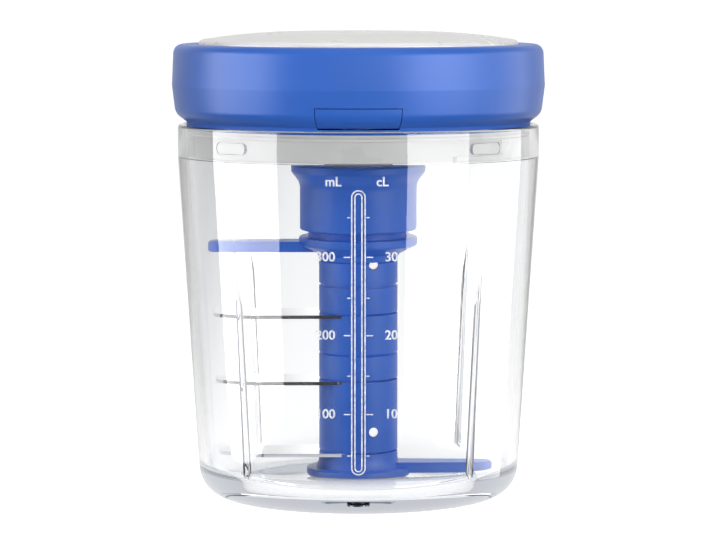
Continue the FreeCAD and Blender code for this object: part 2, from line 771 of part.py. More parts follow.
def make_neck_spacer():
    """The topmost sleeve, with a fine groove and the upper drain hole."""
    body = make_spacer("neck_spacer", "upper_blade_high", "collar_low")
    revolve(body, "groove", [
        ("shaft_radius - neck_groove_depth", "neck_groove_height - neck_groove_width / 2"),
        ("shaft_radius + 1", "neck_groove_height - neck_groove_width / 2"),
        ("shaft_radius + 1", "neck_groove_height + neck_groove_width / 2"),
        ("shaft_radius - neck_groove_depth", "neck_groove_height + neck_groove_width / 2"),
    ], remove=True)
    drill_drain(body, "drain", "upper_drain_height")
    return body


def make_lower_spacer():
    """The sleeve above the lowest blade, with the lower drain hole."""
    body = make_spacer("lower_spacer", "lower_blade_high", "middle_blade_low")
    drill_drain(body, "drain", "lower_drain_height")
    return body


def make_arm_collar():
    """The collar that carries the upper mixing arm."""
    body = new_body("arm_collar")
    revolve(body, "collar", [
        ("0", "collar_low"),
        ("shaft_radius", "collar_low"),
        ("shaft_radius", "collar_low + collar_flare_rise", "collar_flare_round"),
        ("collar_radius - joint_bevel", "collar_flare_high"),
        ("collar_radius", "collar_flare_high + joint_bevel"),
        ("collar_radius", "collar_high"),
        ("0", "collar_high"),
    ])
    make_arm(body, "upper_arm", "upper_arm_low", "upper_arm_reach", -1)
    cut_square(body, "collar_high + 1", "collar_high - collar_low + 2")
    return body


def make_drive_socket():
    """The flared cup at the spindle's top, with three driven dogs on its floor."""
    body = new_body("drive_socket")
    revolve(body, "cup", [
        ("0", "collar_high"),
        ("socket_groove_radius", "collar_high"),
        ("socket_groove_radius", "socket_groove_high"),
        *bevel("socket_radius", "socket_groove_high", "socket_bevel", "out", "up"),
        ("socket_radius", "socket_flare_low", "socket_flare_round"),
        ("socket_flange_radius", "socket_flare_high"),
        *bevel("socket_flange_radius", "socket_high", "socket_bevel", "up", "in"),
        *bevel("socket_bore_radius", "socket_high", "socket_bevel", "in", "down"),
        ("socket_bore_radius", "socket_floor"),
        ("0", "socket_floor"),
    ])
    dog = revolve(body, "dog", [
        ("dog_inner_radius", "socket_floor - dog_root"),
        ("socket_bore_radius + dog_root", "socket_floor - dog_root"),
        ("socket_bore_radius + dog_root", "dog_high"),
        *bevel("dog_inner_radius", "dog_high", "socket_bevel", "in", "down"),
    ], "30 - dog_sweep / 2", "dog_sweep")
    around(body, "dogs", dog, "dog_count")
    hole = level_sketch(body, "stem_pocket_outline", "stem_top + fit_gap")
    square(hole, "stem_hole_side")
    extrude(body, "stem_pocket", hole, "stem_top + fit_gap - collar_high + 1", remove=True)
    screw = level_sketch(body, "screw_outline", "socket_floor + 1")
    circle(screw, "0", "0", "screw_radius + part_gap")
    extrude(body, "screw_clearance", screw, "socket_floor - stem_top + 2", remove=True)
    return body


def screw_profile(seat):
    """Return the outline of a pan-head screw whose head sits on a height."""
    return [
        ("0", "%s - screw_length" % seat),
        ("screw_radius", "%s - screw_length" % seat),
        ("screw_radius", seat),
        ("screw_head_radius", seat),
        *bevel("screw_head_radius", "%s + screw_head_height" % seat, "screw_head_bevel", "up", "in"),
        ("0", "%s + screw_head_height" % seat),
    ]


def make_stem_screw():
    """The screw that clamps the whole stack to the stem."""
    body = new_body("stem_screw")
    revolve(body, "screw", screw_profile("socket_floor"))
    return body


# The lid

def make_lid_base():
    """The pale inner lid: plate, bayonet skirt, seal groove, hub and the posts of the drive."""
    body = new_body("lid_base")
    revolve(body, "plate", [
        ("shaft_bush_radius + fit_gap", "hub_low"),
        *bevel("hub_radius", "hub_low", "skirt_bevel", "out", "up"),
        ("hub_radius", "plate_low"),
        ("skirt_bore", "plate_low"),
        *bevel("skirt_bore", "skirt_low", "skirt_bevel", "down", "out"),
        *bevel("skirt_radius", "skirt_low", "skirt_bevel", "out", "up"),
        ("skirt_radius", "seal_low"),
        ("skirt_radius - seal_depth", "seal_low"),
        ("skirt_radius - seal_depth", "seal_high"),
        ("skirt_radius", "seal_high"),
        ("skirt_radius", "plate_high"),
        ("shaft_bush_radius + fit_gap", "plate_high"),
    ])
    channel = revolve(body, "channel", [
        ("channel_radius", "channel_low"),
        ("skirt_radius + 1", "channel_low"),
        ("skirt_radius + 1", "channel_high"),
        ("channel_radius", "channel_high"),
    ], "first_lug_angle - lid_turn_angle - entry_half_angle",
        "lid_turn_angle + 2 * entry_half_angle", remove=True)
    around(body, "channels", channel, "lug_count")
    entry = revolve(body, "entry", [
        ("channel_radius", "skirt_low - 1"),
        ("skirt_radius + 1", "skirt_low - 1"),
        ("skirt_radius + 1", "channel_low + 1"),
        ("channel_radius", "channel_low + 1"),
    ], "first_lug_angle - lid_turn_angle - entry_half_angle", "2 * entry_half_angle", remove=True)
    around(body, "entries", entry, "lug_count")
    post = level_sketch(body, "post_outline", "plate_low")
    circle(post, "0", "post_pitch_radius", "post_radius")
    first_post = extrude(body, "post", post, "cup_low - plate_low")
    around(body, "posts", first_post, "post_count")
    post_hole = level_sketch(body, "post_hole_outline", "cup_low")
    circle(post_hole, "0", "post_pitch_radius", "screw_radius + fit_gap")
    first_hole = extrude(body, "post_hole", post_hole, "cup_screw_reach", remove=True)
    around(body, "post_holes", first_hole, "post_count")
    return drill_base_screws(body, "plate_high", "base_screw_reach - lid_low + plate_high + part_gap")


def drill_base_screws(body, top, depth):
    """Drill the holes of the screws that join the ring to the base, down from a height."""
    sketch = level_sketch(body, "base_screw_outline", top)
    reach = "base_screw_radius * sqrt(0.5)"
    circle(sketch, reach, reach, "screw_radius + fit_gap")
    first = extrude(body, "base_screw_hole", sketch, depth, remove=True)
    around(body, "base_screw_holes", first, "base_screw_count")
    return body


def make_seal_ring():
    """The silicone seal in the skirt's groove."""
    body = new_body("seal_ring")
    revolve(body, "seal", [
        ("skirt_radius - seal_depth + part_gap", "seal_low + fit_gap"),
        ("seal_reach - seal_lip", "seal_low + fit_gap"),
        ("seal_reach", "(seal_low + seal_high) / 2"),
        ("seal_reach - seal_lip", "seal_high - fit_gap"),
        ("skirt_radius - seal_depth + part_gap", "seal_high - fit_gap"),
    ])
    return body


def make_lid_ring():
    """The blue ring of the lid, with the cap's seat, the base's flange and the handle's pocket."""
    body = new_body("lid_ring")
    revolve(body, "ring", [
        ("lid_flange_radius", "plate_high"),
        ("skirt_radius", "plate_high"),
        ("skirt_radius", "lid_low"),
        ("lid_radius - lid_low_inset", "lid_low", "lid_low_round"),
        ("lid_radius", "lid_crease", "lid_crease_round"),
        ("lid_top_radius", "lid_high", "lid_high_round"),
        *bevel("cap_bore", "lid_high", "cap_rim_bevel", "in", "down"),
        ("cap_bore", "cap_seat"),
        ("cap_seat_radius", "cap_seat"),
        ("cap_seat_radius", "cap_seat - cap_seat_thickness"),
        ("lid_bore", "cap_seat - cap_seat_thickness"),
        ("lid_bore", "lid_low + lid_wall_rise"),
        ("base_screw_radius + screw_head_radius + part_gap", "lid_low"),
        ("lid_flange_radius", "lid_low"),
    ])
    revolve(body, "handle_pocket", [
        ("lid_flange_radius - part_gap", "lid_low"),
        ("lid_radius + part_gap", "lid_low"),
        ("lid_radius + part_gap", "handle_high + handle_play"),
        ("lid_flange_radius - part_gap", "handle_high + handle_play"),
    ], "-90 - handle_sweep / 2 - handle_play_angle", "handle_sweep + 2 * handle_play_angle", remove=True)
    return drill_base_screws(body, "lid_low", "lid_low - plate_high + part_gap")


def make_lid_cap():
    """The pale cap, a thin shell with a gentle crown that snaps into the ring."""
    body = new_body("lid_cap")
    revolve(body, "shell", [
        ("0", "cap_high"),
        ("cap_crown_radius", "cap_high", "cap_crown_round"),
        ("cap_radius", "cap_shoulder", "cap_round"),
        ("cap_radius", "cap_seat"),
        ("cap_spigot_radius", "cap_seat"),
        ("cap_spigot_radius", "cap_seat - cap_spigot_depth"),
        ("cap_spigot_bore", "cap_seat - cap_spigot_depth"),
        ("cap_spigot_bore", "cap_high - cap_wall - cap_slope * (cap_spigot_bore - cap_crown_radius)"),
        ("cap_crown_radius", "cap_high - cap_wall"),
        ("0", "cap_high - cap_wall"),
    ])
    return body


def make_shaft_bush():
    """The flanged bearing of the drive shaft, pressed into the base's hub."""
    body = new_body("shaft_bush")
    revolve(body, "bush", [
        ("shaft_bush_bore", "hub_low + part_gap"),
        ("shaft_bush_radius", "hub_low + part_gap"),
        ("shaft_bush_radius", "plate_high"),
        ("shaft_bush_radius + shaft_bush_flange_width", "plate_high"),
        ("shaft_bush_radius + shaft_bush_flange_width", "plate_high + shaft_bush_flange"),
        ("shaft_bush_bore", "plate_high + shaft_bush_flange"),
    ])
    return body


def make_spring_cup():
    """The pan that holds the recoil spring, on three ears over the base's posts."""
    body = new_body("spring_cup")
    revolve(body, "pan", [
        ("arbor_radius + part_gap", "cup_low"),
        *bevel("cup_rim_radius", "cup_low", "cup_bevel", "out", "up"),
        ("cup_rim_radius", "cup_high"),
        ("cup_radius", "cup_high"),
        ("cup_radius", "cup_floor_high"),
        ("arbor_radius + part_gap", "cup_floor_high"),
    ])
    ear = level_sketch(body, "ear_outline", "cup_low")
    outline(ear, [
        ("-ear_radius", "cup_radius"),
        ("ear_radius", "cup_radius"),
        ("ear_radius", "post_pitch_radius + ear_radius", "ear_round"),
        ("-ear_radius", "post_pitch_radius + ear_radius", "ear_round"),
    ])
    first_ear = extrude(body, "ear", ear, "cup_floor")
    around(body, "ears", first_ear, "post_count")
    hole = level_sketch(body, "ear_hole_outline", "cup_floor_high")
    circle(hole, "0", "post_pitch_radius", "screw_radius + fit_gap")
    first_hole = extrude(body, "ear_hole", hole, "cup_floor + part_gap", remove=True)
    around(body, "ear_holes", first_hole, "post_count")
    return body


def make_spring_cover():
    """The disc that closes the spring pan and carries the spool's upper journal."""
    body = new_body("spring_cover")
    revolve(body, "disc", [
        ("journal_radius + running_gap", "cup_high"),
        ("cup_rim_radius", "cup_high"),
        *bevel("cup_rim_radius", "cover_high", "cup_bevel", "up", "in"),
        ("journal_radius + running_gap", "cover_high"),
    ])
    return body


def half_turns(start_radius, offset):
    """Return the arcs of a flat spiral, each half a turn, and its two end points."""
    step = size("spring_pitch") / 2
    radius = start_radius + offset
    centre = V(0, 0, 0)
    side = 1
    first = V(radius, 0, 0)
    arcs = []
    for unused in range(int(size("spring_turns")) * 2):
        reach = V(side * radius, 0, 0)
        top = V(0, side * radius, 0)
        arcs.append(Part.Arc(centre + reach, centre + top, centre - reach).toShape())
        last = centre - reach
        centre = centre + V(side * step, 0, 0)
        radius += step
        side = -side
    return arcs, first, last


def make_recoil_spring():
    """The flat spiral spring, one ribbon of half circles from the arbor out to the pan."""
    half = size("spring_thickness") / 2
    start = size("arbor_radius + part_gap + spring_thickness / 2")
    inner, inner_first, inner_last = half_turns(start, -half)
    outer, outer_first, outer_last = half_turns(start, half)
    edges = inner + outer + [Part.makeLine(inner_first, outer_first), Part.makeLine(inner_last, outer_last)]
    wire = Part.Wire(Part.__sortEdges__(edges))
    ribbon = Part.Face(wire).extrude(V(0, 0, size("spring_height")))
    feature = document.addObject("Part::Feature", "recoil_spring")
    feature.Label = "recoil_spring"
    feature.Shape = ribbon
    feature.Placement = FreeCAD.Placement(V(0, 0, size("spring_low")), FreeCAD.Rotation())
    least = size("spring_pitch") - size("spring_thickness")
    print("recoil spring: least gap %.2f mm, outer radius %.2f mm" % (least, ribbon.BoundBox.XMax))
    return feature


def make_screws(label, seat, reach, pitch_radius, count, first_angle):
    """A ring of equal screws in one node, each its own solid."""
    solids = []
    for index in range(int(size(count))):
        angle = math.radians(size(first_angle) + 360.0 / size(count) * index)
        place = V(math.cos(angle) * size(pitch_radius), math.sin(angle) * size(pitch_radius), 0)
        high = size(seat)
        low = high - size(reach)
        shank = Part.makeCylinder(size("screw_radius"), high - low, place + V(0, 0, low))
        head = Part.makeCylinder(size("screw_head_radius"), size("screw_head_height"), place + V(0, 0, high))
        crown = [edge for edge in head.Edges if abs(edge.BoundBox.ZMin - head.BoundBox.ZMax) < 1e-6]
        head = head.makeChamfer(size("screw_head_bevel"), crown)
        solids.append(shank.fuse(head).removeSplitter())
    feature = document.addObject("Part::Feature", label)
    feature.Label = label
    feature.Shape = Part.makeCompound(solids)
    feature.Placement = FreeCAD.Placement()
    return feature


# The cord drive

def make_drive_shaft():
    """The vertical shaft with three drive dogs that drop into the socket."""
    body = new_body("drive_shaft")
    revolve(body, "shaft", [
        ("0", "drive_shaft_low"),
        *bevel("drive_shaft_radius", "drive_shaft_low", "drive_shaft_bevel", "out", "up"),
        ("drive_shaft_radius", "spool_ceiling"),
        ("0", "spool_ceiling"),
    ])
    dog = revolve(body, "dog", [
        ("drive_shaft_radius - dog_root", "drive_shaft_low + drive_shaft_bevel"),
        ("drive_dog_radius - drive_shaft_bevel", "drive_shaft_low + drive_shaft_bevel"),
        ("drive_dog_radius", "drive_shaft_low + 2 * drive_shaft_bevel"),
        ("drive_dog_radius", "drive_dog_high - drive_dog_slope"),
        ("drive_dog_radius - drive_dog_slope", "drive_dog_high"),
        ("drive_shaft_radius - dog_root", "drive_dog_high"),
    ], "90 - dog_sweep / 2", "dog_sweep")
    around(body, "dogs", dog, "dog_count")
    return body


def make_spool():
    """The cord spool, with the arbor of the recoil spring and its top journal."""
    body = new_body("spool")
    revolve(body, "drum", [
        ("drive_shaft_radius + fit_gap", "spool_low"),
        ("spool_flange_radius", "spool_low"),
        ("spool_flange_radius", "spool_floor"),
        ("spool_core_radius", "spool_floor"),
        ("spool_core_radius", "spool_ceiling"),
        ("spool_flange_radius", "spool_ceiling"),
        ("spool_flange_radius", "spool_high"),
        ("arbor_radius", "spool_high"),
        ("arbor_radius", "cup_high - part_gap"),
        ("journal_radius", "cup_high - part_gap"),
        ("journal_radius", "cover_high"),
        ("0", "cover_high"),
        ("0", "spool_ceiling"),
        ("drive_shaft_radius + fit_gap", "spool_ceiling"),
    ])
    return body


def make_cord_winding():
    """The cord wound on the spool, one plain ring inside the closed lid."""
    body = new_body("cord_winding")
    revolve(body, "winding", [
        ("spool_core_radius + fit_gap", "spool_floor + fit_gap"),
        ("winding_radius", "spool_floor + fit_gap"),
        ("winding_radius", "spool_ceiling - fit_gap"),
        ("spool_core_radius + fit_gap", "spool_ceiling - fit_gap"),
    ])
    return body


def make_cord_guide():
    """The guide block behind the handle, with the eyelet that the cord runs through."""
    body = new_body("cord_guide")
    block = turned_sketch(body, "block_outline", "0", "guide_back")
    half = "guide_block_width / 2"
    outline(block, [
        ("-" + half, "plate_high"),
        (half, "plate_high"),
        (half, "cord_height + guide_block_height / 2", "guide_block_round"),
        ("-" + half, "cord_height + guide_block_height / 2", "guide_block_round"),
    ])
    extrude(body, "block", block, "guide_length")
    eye = turned_sketch(body, "eye_outline", "0", "guide_face")
    circle(eye, "0", "cord_height", "cord_radius + part_gap")
    extrude(body, "eye", eye, "guide_length + part_gap", remove=True)
    return body


def make_pull_handle():
    """The pull handle, flush with the ring, with a finger recess on top and the cord's bore."""
    body = new_body("pull_handle")
    revolve(body, "handle", [
        ("lid_flange_radius", "handle_low"),
        ("lid_radius - 2 * handle_inset", "handle_low", "handle_low_round"),
        ("lid_radius - handle_inset", "handle_high"),
        ("lid_flange_radius", "handle_high"),
    ], "-90 - handle_sweep / 2", "handle_sweep")
    revolve(body, "finger_recess", [
        ("lid_flange_radius + grip_wall", "grip_bottom"),
        ("grip_radius", "grip_bottom"),
        ("grip_radius", "handle_high + part_gap"),
        ("lid_flange_radius + grip_wall", "handle_high + part_gap"),
    ], "-90 - grip_sweep / 2", "grip_sweep", remove=True)
    room = turned_sketch(body, "stop_room_outline", "0", "cord_end + stop_length + part_gap")
    circle(room, "0", "cord_height", "stop_radius + fit_gap")
    extrude(body, "stop_room", room, "stop_length + part_gap", remove=True)
    hole = turned_sketch(body, "cord_hole_outline", "0", "cord_end")
    circle(hole, "0", "cord_height", "cord_radius + fit_gap")
    extrude(body, "cord_hole", hole, "cord_wall + part_gap", remove=True)
    return body


def inward_bar(body, sketch, length):
    """Pad a sketch from its plane inwards, against its normal."""
    bar = body.newObject("PartDesign::Pad", body.Label + "_bar")
    bar.Profile = sketch
    bar.Length = size(length)
    bar.setExpression("Length", linked(length))
    bar.Reversed = True
    document.recompute()
    return body


def make_cord_stop():
    """The crimped stop on the cord's end, inside the handle."""
    body = new_body("cord_stop")
    sketch = turned_sketch(body, "stop_outline", "0", "cord_end + stop_length")
    circle(sketch, "0", "cord_height", "stop_radius")
    return inward_bar(body, sketch, "stop_length")


def make_pull_cord():
    """The cord's straight run from the back of the eyelet to its stop."""
    body = new_body("pull_cord")
    sketch = turned_sketch(body, "run_outline", "0", "cord_end")
    circle(sketch, "0", "cord_height", "cord_radius")
    return inward_bar(body, sketch, "cord_end - guide_back")


def make_cord_lead():
    """The cord's inner run, straight from the winding's tangent to just behind the eyelet."""
    body = new_body("cord_lead")
    sketch = turned_sketch(body, "lead_outline", "-90 - lead_angle")
    circle(sketch, "lead_radius", "cord_height", "cord_radius")
    return inward_bar(body, sketch, "lead_length")


def build_all():
    """Make every sub-part, in the order of assembly."""
    parts = [
        make_bowl(),
        make_pivot_pin(),
        make_foot_stem(),
        make_foot_bush(),
        make_blade("blade_lower", "lower_blade_low", "lower_blade_reach"),
        make_blade("blade_middle", "middle_blade_low", "middle_blade_reach"),
        make_blade("blade_upper", "upper_blade_low", "upper_blade_reach"),
        make_lower_spacer(),
        make_spacer("middle_spacer", "middle_blade_high", "spacer_joint"),
        make_spacer("upper_spacer", "spacer_joint", "upper_blade_low"),
        make_neck_spacer(),
        make_arm_collar(),
        make_drive_socket(),
        make_stem_screw(),
        make_lid_base(),
        make_seal_ring(),
        make_lid_ring(),
        make_lid_cap(),
        make_shaft_bush(),
        make_spring_cup(),
        make_spring_cover(),
        make_recoil_spring(),
        make_screws("cup_screws", "cup_floor_high", "cup_screw_reach", "post_pitch_radius", "post_count", "90"),
        make_screws("base_screws", "lid_low", "base_screw_reach", "base_screw_radius", "base_screw_count", "45"),
        make_drive_shaft(),
        make_spool(),
        make_cord_winding(),
        make_cord_guide(),
        make_pull_handle(),
        make_cord_stop(),
        make_pull_cord(),
        make_cord_lead(),
    ]
    document.recompute()
    return parts


def check_and_write(parts):
    """Check each object's state and each sub-part's shape, then write the STEP files."""
    for item in document.Objects:
        if "Invalid" in item.State or "Error" in item.State:
            raise RuntimeError("%s: %s" % (item.Label, item.State))
    for part in parts:
        if part.Shape.isNull() or not part.Shape.isValid():
            raise RuntimeError("%s has no valid shape" % part.Label)
    os.makedirs("parts", exist_ok=True)
    for part in parts:
        part.Shape.exportStep("parts/%s.step" % part.Label)
        print("%-14s solids %d volume %.1f" % (part.Label, len(part.Shape.Solids), part.Shape.Volume))


check_and_write(build_all())
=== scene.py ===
"""A hand-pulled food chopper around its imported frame: clear graduated bowl, bladed spindle and blue lid.

Sizes are millimetres in the row's frame: +Z up, the front at -Y, the origin at the centre of the bowl's base.
"""
import logging
import math
from collections.abc import Callable, Sequence
from dataclasses import dataclass
from enum import Enum
from functools import cache

import bmesh
import bpy
from mathutils import Matrix, Vector


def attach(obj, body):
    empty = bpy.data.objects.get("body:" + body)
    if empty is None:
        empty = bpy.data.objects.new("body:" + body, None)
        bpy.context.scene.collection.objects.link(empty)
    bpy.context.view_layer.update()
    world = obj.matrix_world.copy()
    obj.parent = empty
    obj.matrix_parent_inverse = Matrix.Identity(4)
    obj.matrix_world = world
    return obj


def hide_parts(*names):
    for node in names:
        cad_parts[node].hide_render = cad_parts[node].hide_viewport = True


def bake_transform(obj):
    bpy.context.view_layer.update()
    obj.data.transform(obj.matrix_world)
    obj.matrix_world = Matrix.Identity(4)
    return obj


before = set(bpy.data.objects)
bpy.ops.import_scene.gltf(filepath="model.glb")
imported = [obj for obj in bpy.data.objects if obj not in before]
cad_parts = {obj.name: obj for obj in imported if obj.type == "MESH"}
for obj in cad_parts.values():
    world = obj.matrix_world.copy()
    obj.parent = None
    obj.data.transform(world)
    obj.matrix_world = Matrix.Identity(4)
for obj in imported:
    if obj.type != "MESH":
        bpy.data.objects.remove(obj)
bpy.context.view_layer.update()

MM = 0.001
LOG = logging.getLogger("chopper")

Piece = bpy.types.Object
Material = bpy.types.Material
Tree = bpy.types.NodeTree
Node = bpy.types.Node
Socket = bpy.types.NodeSocket
Element = bmesh.types.BMVert | bmesh.types.BMEdge
Corner = tuple[float, ...]
Colour = tuple[float, float, float]
Pair = tuple[float, float]
Inputs = dict[str | int, object]


class Join(Enum):
    """How one closed piece is combined with another."""

    ADD = "UNION"
    CUT = "DIFFERENCE"


class Mark(Enum):
    """The sides of the bowl's scale, as the sign of their place across the front."""

    MILLILITRES = -1
    CENTILITRES = 1


# Modelling helpers


def deselect() -> None:
    """Leave edit mode and deselect every object."""
    if bpy.context.object and bpy.context.object.mode != "OBJECT":
        bpy.ops.object.mode_set(mode="OBJECT")
    bpy.ops.object.select_all(action="DESELECT")


def activate(piece: Piece) -> None:
    """Make one object the only selected and active one.

    Args:
        piece: The object to work on.
    """
    deselect()
    piece.select_set(True)
    bpy.context.view_layer.objects.active = piece


def edit(piece: Piece) -> None:
    """Enter edit mode on one object.

    Args:
        piece: The object to edit.
    """
    activate(piece)
    bpy.ops.object.mode_set(mode="EDIT")


def rounded(corners: Sequence[Corner], step: float = 9.0) -> list[Vector]:
    """Return the points of a closed outline, with each rounded corner as an arc.

    Args:
        corners: (x, y) or (x, y, round) for each corner, in order.
        step: The largest turn between two points of an arc, in degrees.

    Returns:
        The outline's points, the last one not repeated.
    """
    points: list[Vector] = []
    count = len(corners)
    for index, corner in enumerate(corners):
        here = Vector(corner[:2])
        if len(corner) < 3:
            points.append(here)
            continue
        back = (Vector(corners[index - 1][:2]) - here).normalized()
        ahead = (Vector(corners[(index + 1) % count][:2]) - here).normalized()
        half = back.angle(ahead) / 2
        centre = here + (back + ahead).normalized() * (corner[2] / math.sin(half))
        start = here + back * (corner[2] / math.tan(half)) - centre
        end = here + ahead * (corner[2] / math.tan(half)) - centre
        first = math.atan2(start.y, start.x)
        sweep = (math.atan2(end.y, end.x) - first + math.pi) % math.tau - math.pi
        pieces = max(2, math.ceil(abs(math.degrees(sweep)) / step))
        for share in range(pieces + 1):
            angle = first + sweep * share / pieces
            points.append(centre + Vector((math.cos(angle), math.sin(angle))) * corner[2])
    return points


def trace(name: str, points: Sequence[Vector], closed: bool = True) -> Piece:
    """Draw a wire by extruding one vertex from point to point.

    Args:
        name: The new object's name.
        points: The wire's points in space, in millimetres.
        closed: Whether the last point is joined to the first.

    Returns:
        The new object, left in edit mode with all of it selected.
    """
    deselect()
    bpy.ops.mesh.primitive_plane_add(size=MM, location=(0, 0, 0))
    piece = bpy.context.object
    piece.name = name
    piece.data.name = name
    bpy.ops.object.mode_set(mode="EDIT")
    bpy.ops.mesh.select_mode(type="VERT")
    bpy.ops.mesh.select_all(action="SELECT")
    bpy.ops.mesh.merge(type="CENTER")
    bpy.ops.mesh.select_all(action="SELECT")
    bpy.ops.transform.translate(value=points[0] * MM)
    here = points[0]
    for there in [*points[1:], *points[:1 if closed else 0]]:
        if (there - here).length < 1e-5:
            continue
        bpy.ops.mesh.extrude_region_move(TRANSFORM_OT_translate={"value": (there - here) * MM})
        here = there
    bpy.ops.mesh.select_all(action="SELECT")
    bpy.ops.mesh.remove_doubles(threshold=1e-7)
    return piece


def close_up(piece: Piece, angle: float = 32.0) -> Piece:
    """Merge doubles, turn all faces outwards, shade smooth by angle and leave edit mode.

    Args:
        piece: The object, in edit mode.
        angle: Edges sharper than this many degrees stay sharp.

    Returns:
        The same object.
    """
    bpy.ops.mesh.select_all(action="SELECT")
    bpy.ops.mesh.remove_doubles(threshold=1e-6)
    bpy.ops.mesh.normals_make_consistent(inside=False)
    bpy.ops.object.mode_set(mode="OBJECT")
    bpy.ops.object.shade_smooth_by_angle(angle=math.radians(angle))
    return piece


def lathe(name: str, corners: Sequence[Corner], steps: int = 128, first: float = 0.0,
          sweep: float = 360.0, arc_step: float = 9.0) -> Piece:
    """Turn a closed outline of (radius, height) corners about Z.

    Args:
        name: The new object's name.
        corners: The outline's corners, each with an optional round.
        steps: Steps around the whole sweep.
        first: Azimuth where the sweep starts, in degrees.
        sweep: Degrees to turn; under 360 the two ends are closed.
        arc_step: The largest turn between two points of a rounded corner.

    Returns:
        The new closed mesh object.
    """
    across = Vector((math.cos(math.radians(first)), math.sin(math.radians(first)), 0))
    points = [across * point.x + Vector((0, 0, point.y)) for point in rounded(corners, arc_step)]
    piece = trace(name, points)
    whole = sweep >= 360
    if not whole:
        bpy.ops.mesh.edge_face_add()
    bpy.ops.mesh.spin(steps=steps, angle=-math.radians(sweep), center=(0, 0, 0), axis=(0, 0, 1),
                      use_auto_merge=whole)
    if not whole:
        bpy.ops.mesh.select_all(action="DESELECT")
        bpy.ops.mesh.select_non_manifold(extend=False, use_wire=False, use_multi_face=False,
                                         use_non_contiguous=False, use_verts=False)
        bpy.ops.mesh.edge_face_add()
    return close_up(piece)


def slab(name: str, corners: Sequence[Corner], low: float, thickness: float,
         arc_step: float = 9.0) -> Piece:
    """Raise a flat outline of (x, y) corners into a plate.

    Args:
        name: The new object's name.
        corners: The outline's corners, each with an optional round.
        low: Height of the plate's underside.
        thickness: The plate's thickness.
        arc_step: The largest turn between two points of a rounded corner.

    Returns:
        The new closed mesh object.
    """
    piece = trace(name, [Vector((point.x, point.y, low)) for point in rounded(corners, arc_step)])
    bpy.ops.mesh.edge_face_add()
    bpy.ops.mesh.extrude_region_move(TRANSFORM_OT_translate={"value": (0, 0, thickness * MM)})
    return close_up(piece)


def select_where(piece: Piece, kind: str, chosen: Callable[[Element], bool]) -> None:
    """Enter edit mode and select only the vertices or edges that pass a test.

    Args:
        piece: The object to edit.
        kind: VERT or EDGE.
        chosen: Takes a vertex or an edge and says whether it is selected.
    """
    edit(piece)
    bpy.ops.mesh.select_mode(type=kind)
    bpy.ops.mesh.select_all(action="DESELECT")
    mesh = bmesh.from_edit_mesh(piece.data)
    for element in mesh.verts if kind == "VERT" else mesh.edges:
        element.select_set(chosen(element))
    bmesh.update_edit_mesh(piece.data)


def bevel_edges(piece: Piece, chosen: Callable[[Vector, Vector], bool], width: float,
                segments: int) -> None:
    """Bevel the edges whose two ends pass a test.

    Args:
        piece: The object to edit.
        chosen: Takes an edge's two ends in millimetres and says whether it is bevelled.
        width: The bevel's width.
        segments: The bevel's segments.
    """
    select_where(piece, "EDGE", lambda edge: chosen(*(vertex.co / MM for vertex in edge.verts)))
    bpy.ops.mesh.bevel(offset=width * MM, segments=segments, affect="EDGES", clamp_overlap=True)
    bpy.ops.mesh.select_mode(type="VERT")
    close_up(piece)


def divide_long(piece: Piece, longest: float, cuts: int) -> Piece:
    """Divide a piece's long edges, so that they can follow a wall.

    Args:
        piece: The object to edit.
        longest: The length up to which an edge stays whole.
        cuts: The cuts in each longer edge.

    Returns:
        The same object.
    """
    select_where(piece, "EDGE", lambda edge: edge.calc_length() > longest * MM)
    bpy.ops.mesh.subdivide(number_cuts=cuts)
    bpy.ops.mesh.select_mode(type="VERT")
    return close_up(piece)


def block(name: str, centre: Corner, size: Corner) -> Piece:
    """Build a box.

    Args:
        name: The new object's name.
        centre: Its middle.
        size: Its three sizes.

    Returns:
        The new closed mesh object.
    """
    deselect()
    bpy.ops.mesh.primitive_cube_add(size=1, location=[value * MM for value in centre],
                                    scale=[value * MM for value in size])
    piece = settle(bpy.context.object)
    piece.name = name
    return piece


def bar(radius: float, length: float, centre: Corner, lean: float = 0.0, sides: int = 32) -> Piece:
    """Build a round bar.

    Args:
        radius: Its radius.
        length: Its length.
        centre: Its middle.
        lean: Its turn about X from upright, in degrees.
        sides: Its number of sides.

    Returns:
        The new closed mesh object.
    """
    deselect()
    bpy.ops.mesh.primitive_cylinder_add(vertices=sides, radius=radius * MM, depth=length * MM,
                                        location=[value * MM for value in centre],
                                        rotation=(math.radians(lean), 0, 0))
    return settle(bpy.context.object)


def around(piece: Piece, tools: Sequence[Piece], how: Join,
           azimuths: Sequence[float]) -> None:
    """Add or cut copies of some tools at several azimuths, and remove the tools.

    Args:
        piece: The object that is changed.
        tools: The objects to copy, in order.
        how: Whether to add or cut.
        azimuths: The turns about Z in degrees.
    """
    for azimuth in azimuths:
        for tool in tools:
            combine(piece, turned_copy(tool, azimuth), how)
    for tool in tools:
        bpy.data.objects.remove(tool, do_unlink=True)


def combine(target: Piece, tool: Piece, how: Join) -> None:
    """Add a closed piece to another, or cut it away, and remove the tool.

    Args:
        target: The object that is changed.
        tool: The object that is used up.
        how: Whether to add or cut.
    """
    activate(target)
    bpy.ops.object.modifier_add(type="BOOLEAN")
    modifier = target.modifiers[-1]
    modifier.operation = how.value
    modifier.solver = "EXACT"
    modifier.object = tool
    bpy.ops.object.modifier_apply(modifier=modifier.name)
    bpy.data.objects.remove(tool, do_unlink=True)
    edit(target)
    close_up(target)


def turned_copy(piece: Piece, angle: float) -> Piece:
    """Return a copy of a piece with its own mesh, turned about Z.

    Args:
        piece: The object to copy.
        angle: The turn in degrees.

    Returns:
        The new object.
    """
    activate(piece)
    bpy.ops.object.duplicate(linked=False)
    copy = bpy.context.object
    copy.data.transform(Matrix.Rotation(math.radians(angle), 4, "Z"))
    return copy


